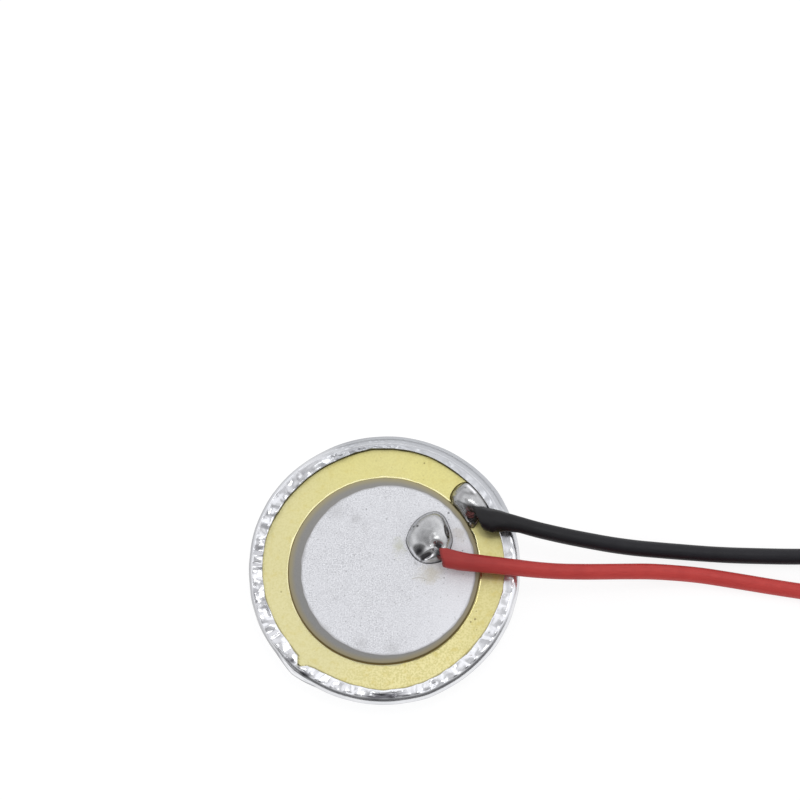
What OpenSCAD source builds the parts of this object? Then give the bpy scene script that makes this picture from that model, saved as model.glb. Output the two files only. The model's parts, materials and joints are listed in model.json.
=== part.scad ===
// Piezo disc in a crimped aluminium sound cap, with two soldered leads.
// Millimetres. The flat end of the cap rests on z = 0, centred on the z axis,
// the ceramic faces up (+Z) and the leads run off towards +X.

/* [Brass disc] */
// Diameter of the brass disc
brass_d = 20; // [19:0.5:24]
// Thickness of the brass disc
brass_t = 0.2; // [0.1:0.05:0.3]

/* [Ceramic] */
// Width of the bare brass round the ceramic disc
brass_ring = 2.5; // [2:0.1:3]
// Thickness of the ceramic disc
ceramic_t = 0.2; // [0.1:0.05:0.3]
// Bare ceramic left around the upper electrode
electrode_margin = 0.65; // [0.4:0.05:1]
// Thickness of each silver electrode
electrode_t = 0.01; // [0.005:0.005:0.03]
// How far the upper electrode is printed off centre
electrode_shift = 0.34; // [0:0.02:0.38]
// Bare ceramic left around the lower electrode
lower_margin = 0.3; // [0.2:0.05:0.8]
// Thickness of the adhesive film
adhesive_t = 0.02; // [0.01:0.01:0.05]
// How far the adhesive stops short of the ceramic's edge
adhesive_margin = 0.1; // [0.05:0.05:0.2]

/* [Sound cap] */
// Thickness of the aluminium sheet
cap_t = 0.3; // [0.2:0.05:0.35]
// Height from the flat end to the flange
cap_depth = 1.85; // [1.6:0.05:2.6]
// Diameter of the sound hole
sound_hole_d = 4.1; // [2:0.1:6]
// Slope of the dish wall above the flat end
wall_angle = 50; // [42:1:60]
// Radius of the bend between the flat end and the wall
face_bend_r = 1.2; // [0.6:0.1:1.4]
// Radius of the bend between the wall and the flange
flange_bend_r = 0.3; // [0.2:0.05:0.5]
// Width of the narrow ring coined round the dish's mouth
coin_w = 0.25; // [0.2:0.01:0.3]
// Depth of that coined ring
coin_h = 0.15; // [0.1:0.01:0.18]
// Width of the flange that the brass disc is seated on
seat_w = 0.6; // [0.5:0.05:0.8]

/* [Crimped rim] */
// Gap between the brass disc's edge and the rim wall
rim_clearance = 0.4; // [0.2:0.05:0.6]
// Radius of the bend from the flange up into the rim wall
rim_bend_r = 0.25; // [0.1:0.05:0.35]
// How far the lip reaches over the brass disc, on average
lip_overlap = 0.42; // [0.3:0.02:0.6]
// Gap under the lip
lip_gap = 0.02; // [0.01:0.01:0.05]
// How much further the lip reaches on one side than on the other
lip_drift = 0.15; // [0:0.01:0.2]
// Height of the crimping wrinkles
wrinkle_h = 0.07; // [0.02:0.01:0.09]
// How far the nick in the lip cuts back
nick_depth = 0.75; // [0.3:0.05:0.8]
// Direction of the nick
nick_angle = 229.5; // [200:4.5:252]

/* [Solder joints] */
// Length of the red lead's joint
red_joint_l = 4.26; // [3.6:0.02:4.6]
// Width of the red lead's joint
red_joint_w = 3.64; // [3:0.02:4]
// Height of the red lead's joint
red_joint_h = 1.3; // [1.1:0.05:1.5]
// Direction of the red lead's joint from the centre
red_joint_angle = 36.5; // [33:0.5:40]
// Bare electrode between that joint and the electrode's edge
red_joint_edge = 0.26; // [0.1:0.02:0.5]
// Length of the black lead's joint along the brass ring
black_joint_l = 3.2; // [2.8:0.1:3.6]
// Height of the black lead's joint
black_joint_h = 1; // [0.9:0.05:1.2]
// Direction of the black lead's joint from the centre
black_joint_angle = 40.5; // [39:0.5:42]
// Gap between that joint and the ceramic and the lip
black_joint_gap = 0.04; // [0.02:0.01:0.1]

/* [Leads] */
// Diameter of a lead's insulation
lead_d = 1.25; // [1:0.05:1.3]
// Diameter of the bare conductor
strands_d = 0.6; // [0.4:0.05:0.7]
// Length of the tinned bare end
tip_l = 3; // [2:0.5:3.5]
// Diameter of the coils at the middle of their turns
coil_mid_d = 13; // [12.5:0.1:13.5]
// Radial width of the coils in lead diameters
coil_turns_wide = 2.4; // [2.2:0.1:2.6]

/* [Tie] */
// Thickness of the tie
tie_t = 0.15; // [0.1:0.05:0.2]
// Width of the tie
tie_w = 2; // [1:0.5:3]
// Gap between the tie and the coils
tie_gap = 0.05; // [0.02:0.01:0.1]

/* [Hidden] */
$fn = 96;

// Radii that the stack is built on
brass_r = brass_d / 2;
ceramic_r = brass_r - brass_ring;
wall_in_r = brass_r + rim_clearance;
rim_r = wall_in_r + cap_t;
lip_r = brass_r - lip_overlap;
electrode_r = ceramic_r - electrode_margin;

// Heights of the stack, from the flat end up
seat_z = cap_depth + cap_t;
brass_top = seat_z + brass_t;
film_top = brass_top + adhesive_t;
lower_top = film_top + electrode_t;
ceramic_top = lower_top + ceramic_t;
electrode_top = ceramic_top + electrode_t;

// The dish is worked out inwards from the seat: its mouth, the foot of its wall, its flat end
mouth_r = brass_r - seat_w;
wall_foot_r = mouth_r - coin_w;
coin_z = cap_depth - coin_h;
bends = face_bend_r + flange_bend_r;
slant = (coin_z - bends * (1 - cos(wall_angle))) / sin(wall_angle);
face_r = wall_foot_r - bends * sin(wall_angle) - slant * cos(wall_angle);

// The rim wall stops level with the top of the brass, where the lip takes over
rim_top = brass_top;
lip_z = brass_top + lip_gap;
lip_top = lip_z + cap_t;
root_sink = 0.1;
lip_steps = 160;

// Joints: centre of each footprint
red_joint_at = (electrode_r - red_joint_l / 2 - red_joint_edge)
             * [cos(red_joint_angle), sin(red_joint_angle)];
red_joint_tilt = -12;
black_in_r = ceramic_r + black_joint_gap;
black_out_r = lip_r - black_joint_gap;
black_joint_r = (black_in_r + black_out_r) / 2;
black_joint_w = black_out_r - black_in_r;
black_joint_at = black_joint_r * [cos(black_joint_angle), sin(black_joint_angle)];
dome_steps = 48;
dome_rings = 9;

// Where each lead's conductor ends inside its joint
red_core = [red_joint_at.x - 0.25, red_joint_at.y - 1.45, electrode_top + 0.46];
black_core_angle = black_joint_angle - 5.5;
black_core = [black_joint_r * cos(black_core_angle),
              black_joint_r * sin(black_core_angle), brass_top + 0.5];

// Coils: the two leads lie in one ring, the black one on the red one
coil_at = [46, 5.4];
coil_half_w = coil_turns_wide * lead_d / 2;
coil_out_r = coil_mid_d / 2 + coil_half_w;
coil_in_r = coil_mid_d / 2 - coil_half_w;
outer_turn_r = coil_out_r - lead_d / 2;
rest_gap = 0.02;
tie_angle = 90;
red_coil_z = tie_t + rest_gap;
black_coil_z = red_coil_z + lead_d + rest_gap;
run_l = 4.6;
run_slack = 0.06;
run_d = lead_d - run_slack;
red_heading = 0;
black_heading = -25;
red_entry = coil_entry(red_heading, red_coil_z);
black_entry = coil_entry(black_heading, black_coil_z);
// Each lead's last stretch leaves the ring inwards, at this direction from the coil's centre
red_exit_angle = 10;
black_exit_angle = 40;
exit_turn = 135;
exit_from_r = coil_in_r + 0.6;
exit_l = 2.2;

// Routes of the leads from the end of the insulation to the coil, laid by hand:
// over the crimped lip, down beside the disc and along the surface it stands on.
// They were laid for joints at these places, and their first points follow the joints
red_laid_at = [3.5852, 2.6529, 2.59];
black_laid_at = [6.4939, 5.5463, 2.35];
red_laid = [
    [4.65, 0.62, 3.67], [6.8, 0.33, 3.6], [9.2, 0.1, 3.5], [11.7, -0.16, 3.4],
    [13.6, -0.26, 3.22], [15.5, -0.22, 2.92], [17.3, -0.12, 2.54], [19.2, 0, 2.1],
    [21, 0.1, 1.66], [22.9, 0.08, 1.26], [24.8, -0.04, 0.95], [26.6, -0.26, 0.75],
    [28.5, -0.55, 0.65], [30.4, -0.87, 0.63], [32.3, -1.18, 0.63], [34.5, -1.5, 0.64],
    [36.8, -1.76, 0.7], [39.2, -1.93, 0.77]];
black_laid = [
    [7.64, 4.3, 3.5], [8.7, 4.02, 3.57], [9.9, 3.65, 3.58], [11.9, 3.07, 3.5],
    [13.1, 2.8, 3.38], [14.4, 2.55, 3.19], [15.9, 2.32, 2.9], [17.75, 2.09, 2.45],
    [19.6, 1.95, 1.95], [21.5, 1.88, 1.5], [23.3, 1.82, 1.12], [25.2, 1.74, 0.85],
    [27.1, 1.67, 0.7], [29, 1.62, 0.64], [30.9, 1.58, 0.63], [32.6, 1.56, 0.68],
    [34.2, 1.52, 0.98], [35.8, 1.4, 1.46], [37.3, 1.14, 1.88]];
red_route = follow(red_laid, [red_joint_at.x, red_joint_at.y, electrode_top] - red_laid_at);
black_route = follow(black_laid, [black_joint_at.x, black_joint_at.y, brass_top] - black_laid_at);
lead_sides = 8;
// The heat of soldering has swollen the insulation at its end
red_swell = 0.25;
red_swell_l = 9;
black_swell = 0.4;
black_swell_l = 4;

// ---- functions ----

function unit(v) = v / norm(v);

function mix(a, b, f) = a + (b - a) * f;

// A route whose first points move with their joint, less and less along the lead
function follow(route, move) =
    [for (i = [0 : len(route) - 1]) route[i] + move * max(0, 1 - i / 9)];

// Points along an arc about c, from angle a0 to a1
function arc(c, r, a0, a1, n = 8) =
    [for (i = [0 : n]) let(a = a0 + (a1 - a0) * i / n) c + r * [cos(a), sin(a)]];

// Smallest turn from angle b to angle a
function turn(a, b) = (a - b + 540) % 360 - 180;

// Start of the straight run that joins a coil's outer turn along its tangent
function coil_entry(heading, z) =
    let(foot = coil_at + outer_turn_r * [sin(heading), -cos(heading)])
    let(start = foot - run_l * [cos(heading), sin(heading)])
    [start.x, start.y, z + lead_d / 2];

// Radius of a lead's insulation at a distance s from its soldered end
function swollen_r(s, swell, swell_l) = (lead_d + swell * pow(max(0, 1 - s / swell_l), 1.5)) / 2;

// The crimping wrinkles are faint on the side of the leads and strong on the far side
function wrinkle_strength(a) = max(0.12, min(1, 0.62 - 0.6 * cos(a - 55)));
function wrinkle(a) = wrinkle_strength(a)
    * (0.45 * sin(47 * a) + 0.33 * sin(31 * a + 70) + 0.22 * sin(59 * a + 200));

// Inner edge of the lip, with its slow drift, its ripple and its nick
function lip_edge(a) = lip_r + lip_drift * sin(a) + 0.5 * wrinkle_h * wrinkle(a + 2)
    + nick_depth * max(0, 1 - abs(turn(a, nick_angle)) / 5);

// Section of the lip at direction a, as [radius, height] points round its outline
function lip_section(a) =
    let(w = wrinkle_h * wrinkle(a), r = lip_edge(a), crest = rim_r - rim_bend_r) [
        [rim_r - 0.09, rim_top - root_sink],
        [rim_r - 0.01, rim_top + 0.05],
        [rim_r - 0.07, lip_top - 0.1 + 0.3 * w],
        [crest, lip_top + 0.6 * w],
        [mix(r, crest, 0.6), lip_top + w],
        [mix(r, crest, 0.25), lip_top + 0.9 * w],
        [r + 0.04, lip_top - 0.03 + 0.7 * w],
        [r, lip_z + 0.09],
        [r + 0.02, lip_z],
        [mix(r, wall_in_r, 0.6), lip_z + 0.01],
        [wall_in_r + 0.03, rim_top + 0.02],
        [wall_in_r + 0.07, rim_top - root_sink]];

// Height of a solder dome at a fraction s of the way from its top to its edge
function dome_profile(s) = pow(max(0, 1 - pow(s, 2.6)), 0.55);

// A round hollow of a given depth at a point of the dome
function hollow(p, at, size, depth) = depth * exp(-pow(norm(p - at) / size, 2));

// Egg-shaped footprint, wider at its foot, leaning a little towards +X
function egg(t, s) =
    let(x = s * red_joint_w / 2 * cos(t) * (1 - 0.1 * sin(t)), y = s * red_joint_l / 2 * sin(t))
    [x * cos(red_joint_tilt) - y * sin(red_joint_tilt),
     x * sin(red_joint_tilt) + y * cos(red_joint_tilt)];

// Rounded bar bent along the brass ring, from its outer side round
function bar(t, s) =
    let(c = cos(t), q = sin(t), e = 0.75)
    let(across = s * black_joint_w / 2 * sign(c) * pow(abs(c), e))
    let(along = s * black_joint_l / 2 * sign(q) * pow(abs(q), e))
    let(a = black_joint_angle + along / black_joint_r * 180 / PI)
    (black_joint_r + across) * [cos(a), sin(a)];

// ---- shared modules ----

// Closed tube along points, with its ends square to the two given directions
module tube(points, radii, start_dir, end_dir) {
    n = len(points);
    dirs = [for (i = [0 : n - 1])
        i == 0 ? unit(start_dir) : i == n - 1 ? unit(end_dir) : unit(points[i + 1] - points[i - 1])];
    rings = [for (i = [0 : n - 1])
        let(side = unit(cross(dirs[i], [0, 0, 1])), up = cross(side, dirs[i]))
        for (k = [0 : lead_sides - 1])
            let(a = 360 * k / lead_sides) points[i] + radii[i] * (cos(a) * side + sin(a) * up)];
    walls = [for (i = [0 : n - 2]) for (k = [0 : lead_sides - 1])
        let(p = i * lead_sides + k, q = i * lead_sides + (k + 1) % lead_sides)
        each [[p, q, q + lead_sides], [p, q + lead_sides, p + lead_sides]]];
    first = [for (k = [lead_sides - 1 : -1 : 0]) k];
    last = [for (k = [0 : lead_sides - 1]) (n - 1) * lead_sides + k];
    polyhedron(rings, concat(walls, [first], [last]));
}

// Closed dome on the plane z = 0 from rings of [x, y, z] points that shrink towards its top
module dome(rings, top) {
    n = len(rings);
    m = len(rings[0]);
    walls = [for (j = [0 : n - 2]) for (k = [0 : m - 1])
        let(p = j * m + k, q = j * m + (k + 1) % m)
        each [[p, p + m, q + m], [p, q + m, q]]];
    cover = [for (k = [0 : m - 1]) [(n - 1) * m + k, n * m, (n - 1) * m + (k + 1) % m]];
    base = [for (k = [0 : m - 1]) k];
    polyhedron(concat([for (ring = rings) each ring], [top]), concat(walls, cover, [base]));
}

// Round bar from a towards b, running on past b by extra
module rod(a, b, d, extra = 0) {
    v = b - a;
    translate(a)
        rotate([0, acos(v.z / norm(v)), atan2(v.y, v.x)])
            cylinder(d = d, h = norm(v) + extra);
}

// Everything on the far side of the plane through p square to dir
module beyond(p, dir, size = 4) {
    translate(p)
        rotate([0, acos(dir.z / norm(dir)), atan2(dir.y, dir.x)])
            translate([-size / 2, -size / 2, 0]) cube(size);
}

// Bare conductor from its core in the solder to the flush end of the insulation
module strands(core, route) {
    difference() {
        rod(core, route[0], strands_d, strands_d);
        beyond(route[0], route[1] - route[0]);
    }
}

// One coil: its ring of turns, its straight entry and the stretch that leaves it inwards
module coil(z, entry, heading, exit_angle) {
    mid = z + lead_d / 2;
    translate([coil_at.x, coil_at.y, 0]) {
        rotate_extrude()
            translate([coil_in_r, z]) square([coil_out_r - coil_in_r, lead_d]);
        rotate(exit_angle) translate([exit_from_r, 0, mid])
            rotate([0, 90, exit_turn]) cylinder(d = run_d, h = exit_l);
    }
    translate(entry) rotate([0, 90, heading]) cylinder(d = run_d, h = run_l);
}

// Tinned bare end that carries on from a coil's last stretch
module tip(z, exit_angle) {
    translate([coil_at.x, coil_at.y, z + lead_d / 2])
        rotate(exit_angle) translate([exit_from_r, 0, 0])
            rotate([0, 90, exit_turn]) translate([0, 0, exit_l]) cylinder(d = strands_d, h = tip_l);
}

// ---- sub-parts ----

module sound_cap() {
    face_bend = [face_r, face_bend_r];
    foot_bend = [wall_foot_r, coin_z - flange_bend_r];
    rim_bend = [rim_r - rim_bend_r, cap_depth + rim_bend_r];
    color("silver") union() {
        rotate_extrude() polygon(concat(
            [[sound_hole_d / 2, 0]],
            arc(face_bend, face_bend_r, -90, wall_angle - 90),
            arc(foot_bend, flange_bend_r, 90 + wall_angle, 90),
            [[mouth_r, coin_z], [mouth_r, cap_depth]],
            arc(rim_bend, rim_bend_r, -90, 0),
            [[rim_r, rim_top], [wall_in_r, rim_top], [wall_in_r, seat_z],
             [mouth_r - coin_h, seat_z], [mouth_r - coin_h, seat_z - coin_h]],
            arc(foot_bend, flange_bend_r + cap_t, 90, 90 + wall_angle),
            arc(face_bend, face_bend_r - cap_t, wall_angle - 90, -90),
            [[sound_hole_d / 2, cap_t]]));
        crimped_lip();
    }
}

// The skirt folded in over the brass disc, rooted in the rim wall
module crimped_lip() {
    m = len(lip_section(0));
    points = [for (i = [0 : lip_steps - 1]) let(a = 360 * i / lip_steps)
        for (p = lip_section(a)) [p.x * cos(a), p.x * sin(a), p.y]];
    faces = [for (i = [0 : lip_steps - 1]) for (k = [0 : m - 1])
        let(j = (i + 1) % lip_steps, l = (k + 1) % m)
        each [[i * m + k, i * m + l, j * m + l], [i * m + k, j * m + l, j * m + k]]];
    polyhedron(points, faces);
}

module brass_disc() {
    color("khaki") translate([0, 0, seat_z]) cylinder(d = brass_d, h = brass_t);
}

module adhesive_film() {
    color("tan") translate([0, 0, brass_top])
        cylinder(r = ceramic_r - adhesive_margin, h = adhesive_t);
}

module lower_electrode() {
    color("gainsboro") translate([0, 0, film_top])
        cylinder(r = ceramic_r - lower_margin, h = electrode_t);
}

module ceramic_disc() {
    color("gray") translate([0, 0, lower_top]) cylinder(r = ceramic_r, h = ceramic_t);
}

module upper_electrode() {
    color("lightgray") translate([electrode_shift, 0, ceramic_top])
        cylinder(r = electrode_r, h = electrode_t);
}

module red_solder_joint() {
    rings = [for (j = [0 : dome_rings - 1]) let(s = cos(90 * j / dome_rings))
        [for (k = [0 : dome_steps - 1])
            let(p = egg(360 * k / dome_steps, s))
            [p.x, p.y, j == 0 ? 0 : red_dome_h(p, s)]]];
    color("silver") difference() {
        translate([red_joint_at.x, red_joint_at.y, electrode_top])
            dome(rings, [0, 0, red_dome_h([0, 0], 0)]);
        rod(red_core, red_route[0], strands_d);
    }
}

// Height of the red lead's joint: a dome with two hollows beside the buried conductor
function red_dome_h(p, s) = red_joint_h * dome_profile(s)
    - hollow(p, [-0.75, -1.05], 0.45, 0.16) - hollow(p, [0.55, -0.4], 0.35, 0.14);

module black_solder_joint() {
    middle = bar(0, 0);
    rings = [for (j = [0 : dome_rings - 1]) let(s = cos(90 * j / dome_rings))
        [for (k = [0 : dome_steps - 1])
            let(p = bar(360 * k / dome_steps, s))
            [p.x, p.y, black_joint_h * dome_profile(s)]]];
    color("silver") difference() {
        translate([0, 0, brass_top]) dome(rings, [middle.x, middle.y, black_joint_h]);
        rod(black_core, black_route[0], strands_d);
    }
}

module red_strands() {
    color("peru") strands(red_core, red_route);
}

module black_strands() {
    color("peru") strands(black_core, black_route);
}

module red_lead() {
    route = concat(red_route, [red_entry]);
    color("firebrick") tube(route,
        [for (p = route) swollen_r(norm(p - route[0]), red_swell, red_swell_l)],
        route[1] - route[0], [cos(red_heading), sin(red_heading), 0]);
}

module black_lead() {
    route = concat(black_route, [black_entry]);
    color("dimgray") tube(route,
        [for (p = route) swollen_r(norm(p - route[0]), black_swell, black_swell_l)],
        route[1] - route[0], [cos(black_heading), sin(black_heading), 0]);
}

module red_coil() {
    color("firebrick") coil(red_coil_z, red_entry, red_heading, red_exit_angle);
}

module black_coil() {
    color("dimgray") coil(black_coil_z, black_entry, black_heading, black_exit_angle);
}

module red_tinned_tip() {
    color("silver") tip(red_coil_z, red_exit_angle);
}

module black_tinned_tip() {
    color("silver") tip(black_coil_z, black_exit_angle);
}

// Flat band looped round both coils
module lead_tie() {
    inner = sqrt(pow(coil_in_r, 2) - pow(tie_w / 2, 2)) - tie_gap;
    outer = coil_out_r + tie_gap;
    height = black_coil_z + lead_d + tie_gap - tie_t;
    color("white") translate([coil_at.x, coil_at.y, 0]) rotate(tie_angle) difference() {
        translate([inner - tie_t, -tie_w / 2, 0])
            cube([outer - inner + 2 * tie_t, tie_w, height + 2 * tie_t]);
        translate([inner, -tie_w, tie_t]) cube([outer - inner, 2 * tie_w, height]);
    }
}

sound_cap();
brass_disc();
adhesive_film();
lower_electrode();
ceramic_disc();
upper_electrode();
red_solder_joint();
black_solder_joint();
red_strands();
black_strands();
red_lead();
black_lead();
red_coil();
black_coil();
red_tinned_tip();
black_tinned_tip();
lead_tie();
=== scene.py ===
"""Piezo disc: ceramic on brass in a crimped aluminium sound cap, with two soldered leads.

Everything is in metres in the model's own frame. Shapes are worked out in millimetres as
numpy grids and put into meshes by make_piece(); +Z is up, the leads run off towards +X.
"""
import json
import math

import bpy
import numpy as np
from mathutils import Matrix, Vector

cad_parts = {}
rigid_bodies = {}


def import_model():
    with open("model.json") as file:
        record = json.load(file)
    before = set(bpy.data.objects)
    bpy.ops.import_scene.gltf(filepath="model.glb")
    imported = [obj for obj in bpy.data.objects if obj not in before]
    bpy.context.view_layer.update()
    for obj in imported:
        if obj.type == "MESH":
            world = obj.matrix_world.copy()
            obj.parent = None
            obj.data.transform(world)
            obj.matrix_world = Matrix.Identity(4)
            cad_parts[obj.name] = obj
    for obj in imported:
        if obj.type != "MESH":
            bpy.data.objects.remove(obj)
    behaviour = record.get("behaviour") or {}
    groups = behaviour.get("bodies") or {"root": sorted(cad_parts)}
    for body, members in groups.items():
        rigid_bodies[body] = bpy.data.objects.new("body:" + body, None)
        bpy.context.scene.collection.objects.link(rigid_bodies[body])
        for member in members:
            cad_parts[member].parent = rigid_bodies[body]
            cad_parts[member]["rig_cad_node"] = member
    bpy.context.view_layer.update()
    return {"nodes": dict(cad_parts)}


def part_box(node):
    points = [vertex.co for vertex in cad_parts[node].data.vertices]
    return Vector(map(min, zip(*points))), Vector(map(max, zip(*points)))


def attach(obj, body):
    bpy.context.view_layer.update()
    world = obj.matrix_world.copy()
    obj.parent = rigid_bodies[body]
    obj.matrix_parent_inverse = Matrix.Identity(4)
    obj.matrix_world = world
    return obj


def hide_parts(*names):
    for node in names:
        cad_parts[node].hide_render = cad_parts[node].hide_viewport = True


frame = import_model()

MM = 0.001
TAU = 2 * math.pi


def corners(node):
    """Lowest and highest corner of a solid in millimetres, to a thousandth."""
    return np.round(np.array(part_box(node)) / MM, 3)


# Sizes that the solids give, in millimetres
(_, _, BRASS_LOW), (BRASS_R, _, BRASS_TOP) = corners("brass_disc")
(_, _, CERAMIC_LOW), (CERAMIC_R, _, CERAMIC_TOP) = corners("ceramic_disc")
_, (SILVER_RIGHT, _, SILVER_TOP) = corners("upper_electrode")
(_, COIL_FRONT, RED_COIL_LOW), (COIL_RIGHT, COIL_BACK, RED_COIL_TOP) = corners("red_coil")
(_, _, BLACK_COIL_LOW), (_, _, BLACK_COIL_TOP) = corners("black_coil")
LEAD_D = RED_COIL_TOP - RED_COIL_LOW
# Sizes repeated from the solids' source
SILVER_SHIFT = 0.34
SILVER_R = SILVER_RIGHT - SILVER_SHIFT
HOLE_R, SHEET_T, FLANGE_LOW = 2.05, 0.3, 1.85
STRANDS_D, TIP_L, LEAD_L = 0.6, 3.0, 97.0
OUTER_TURN_R, COIL_IN_R, RUN_L = 7.375, 5.0, 4.6
COIL_AT = np.array([COIL_RIGHT - OUTER_TURN_R - LEAD_D / 2, (COIL_FRONT + COIL_BACK) / 2])

# Direction from the part to the camera, and its distance in metres
CAMERA_WAY, CAMERA_FAR = (0.0648, -0.2419, 0.9681), 0.4


# ---- camera ----

def aim_camera():
    """Camera with a long lens, 14.5 degrees off the disc's axis towards -Y, with the disc low
    in the view: the optical axis passes above the disc by a small pitch and yaw."""
    data = bpy.data.cameras.new("camera")
    data.sensor_width, data.lens = 36.0, 229.3
    data.clip_start, data.clip_end = 0.01, 10.0
    cam = bpy.data.objects.new("camera", data)
    bpy.context.scene.collection.objects.link(cam)
    back = Vector(CAMERA_WAY).normalized()
    right = Vector((0.99790, 0.01571, -0.06287)).normalized()
    up = back.cross(right)
    pitch, yaw = math.radians(1.911), math.radians(0.182)
    forward = (right * math.sin(yaw) + up * math.sin(pitch)
               - back * math.cos(pitch)).normalized()
    up = right.cross(forward).normalized()
    right = forward.cross(up)
    place = Vector((0, 0, SILVER_TOP * MM)) + back * CAMERA_FAR
    aim = Matrix((right, up, -forward)).transposed()
    cam.matrix_world = Matrix.Translation(place) @ aim.to_4x4()
    bpy.context.scene.camera = cam


aim_camera()


# ---- shapes as arrays ----

def unit(v):
    """Each vector of an array divided by its length."""
    return v / np.linalg.norm(v, axis=-1, keepdims=True)


def spans(p, steps):
    """Points on the curve through all but the first and last of the given points, a number
    of steps to each span. A span is the cubic whose slope at each end is half the chord
    between the points on either side of that end."""
    t = np.linspace(0, 1, steps, endpoint=False)[None, :, None]
    a, b, c, d = (p[i:len(p) - 3 + i, None, :] for i in range(4))
    curve = 0.5 * (2 * b + (c - a) * t + (2 * a - 5 * b + 4 * c - d) * t ** 2
                   + (3 * b - a - 3 * c + d) * t ** 3)
    return curve.reshape(-1, p.shape[1])


def run_length(points):
    """Length along a line up to each of its points."""
    return np.concatenate([[0], np.cumsum(np.linalg.norm(np.diff(points, axis=0), axis=1))])


def at_lengths(points, at):
    """The points that lie at the given lengths along a line."""
    s = run_length(points)
    return np.stack([np.interp(at, s, points[:, k]) for k in range(points.shape[1])], 1)


def even_path(points, step):
    """The same line with its points an even step apart."""
    length = run_length(points)[-1]
    return at_lengths(points, np.linspace(0, length, int(round(length / step)) + 1))


def smooth_path(points, step):
    """Points an even step apart on the smooth curve through the given points."""
    p = np.asarray(points, float)
    p = np.vstack([2 * p[0] - p[1], p, 2 * p[-1] - p[-2]])
    return even_path(np.vstack([spans(p, 24), p[-2]]), step)


def closed_outline(points, count):
    """A count of even points on the smooth closed curve through the given points."""
    p = np.asarray(points, float)
    curve = spans(np.vstack([p[-1:], p, p[:2]]), 32)
    curve = np.vstack([curve, curve[:1]])
    return at_lengths(curve, np.linspace(0, run_length(curve)[-1], count, endpoint=False))


def path_frame(path):
    """At each point of a path, unit vectors along it, level across it and square to both."""
    along = unit(np.gradient(path, axis=0))
    side = unit(np.cross(along, [0, 0, 1.0]))
    return along, side, np.cross(side, along)


def circle(count):
    """Even directions round a circle, in radians, and the unit vectors that point there."""
    a = np.arange(count) * TAU / count
    return a, np.stack([np.cos(a), np.sin(a)], 1)


def arc(cx, cz, r, a0, a1, n):
    """Points of a circular arc about (cx, cz) from angle a0 to a1 in degrees."""
    a = np.radians(np.linspace(a0, a1, n))
    return np.stack([cx + r * np.cos(a), cz + r * np.sin(a)], 1)


def waves(points, scale, seed, count=18):
    """Smooth random field of about -1..1: a sum of plane waves of random directions,
    lengths near scale and phases."""
    rng = np.random.default_rng(seed)
    k = unit(rng.normal(size=(count, points.shape[-1])))
    k *= TAU / scale * rng.uniform(0.6, 1.6, (count, 1))
    phase = rng.uniform(0, TAU, count)
    return np.cos(points @ k.T + phase).sum(-1) * math.sqrt(2.0 / count) / 1.6


def skin_waves(a, s, spread, stretch, scale, seed):
    """waves() on the skin of a tube: at directions a on a circle of radius spread, and at
    lengths s along it that are stretched."""
    return waves(np.stack([np.cos(a)[None] * spread + 0 * s[:, None],
                           np.sin(a)[None] * spread + 0 * s[:, None],
                           s[:, None] * stretch + 0 * a[None]], -1), scale, seed)


def facets(u, v, size, seed, span_u, span_v, stretch):
    """Crumpled foil: random small planes, one to each jittered cell of the given size, which
    is stretched along v, blended by bell-shaped weights. u wraps round after span_u."""
    rng = np.random.default_rng(seed)
    nu, nv = int(round(span_u / size)), int(round(span_v / (size * stretch))) + 1
    cu, cv = np.meshgrid((np.arange(nu) + 0.5) * span_u / nu,
                         np.arange(nv) * span_v / (nv - 1), indexing="ij")
    cu = (cu + rng.uniform(-0.42, 0.42, cu.shape) * size).ravel()
    cv = (cv + rng.uniform(-0.42, 0.42, cv.shape) * size * stretch).ravel()
    level = rng.uniform(-1, 1, cu.shape) * 0.3 * size
    tilt_u = rng.normal(0, 1, cu.shape)
    tilt_v = rng.normal(0, 1, cu.shape) / stretch
    out = np.zeros(u.size)
    flat_u, flat_v = u.ravel(), v.ravel()
    block = 8192
    for start in range(0, u.size, block):
        part = slice(start, start + block)
        du = (flat_u[part, None] - cu + span_u / 2) % span_u - span_u / 2
        dv = flat_v[part, None] - cv
        w = np.exp(-((du / size) ** 2 + (dv / (size * stretch)) ** 2) * 5.5)
        out[part] = (w * (level + tilt_u * du + tilt_v * dv)).sum(1) / (w.sum(1) + 1e-9)
    return out.reshape(u.shape)


def smoothstep(x, lo, hi):
    """0 below lo, 1 above hi, with an S-curve between."""
    t = np.clip((x - lo) / (hi - lo), 0, 1)
    return t * t * (3 - 2 * t)


def bell(x, width):
    """1 at zero, falling off like a bell over width."""
    return np.exp(-(x / width) ** 2)


def turn(a, b):
    """Smallest turn in degrees from angle b to angle a."""
    return (a - b + 180) % 360 - 180


# ---- meshes and pieces ----

def enclosed(points, faces):
    """Signed volume that triangles or quads enclose, positive when they face outwards."""
    f = np.asarray(faces)
    total = 0.0
    for i in range(1, f.shape[1] - 1):
        a, b, c = points[f[:, 0]], points[f[:, i]], points[f[:, i + 1]]
        total += float(np.einsum("ij,ij->", a, np.cross(b, c)))
    return total / 6


def grid_faces(nu, nv, wrap_u, wrap_v):
    """Quads that join a grid of nu by nv points, closed on itself where asked."""
    i = np.arange(nu if wrap_u else nu - 1)[:, None]
    j = np.arange(nv if wrap_v else nv - 1)[None, :]
    ii, jj = (i + 1) % nu, (j + 1) % nv
    quad = np.stack(np.broadcast_arrays(i * nv + j, ii * nv + j, ii * nv + jj, i * nv + jj), -1)
    return quad.reshape(-1, 4)


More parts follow.
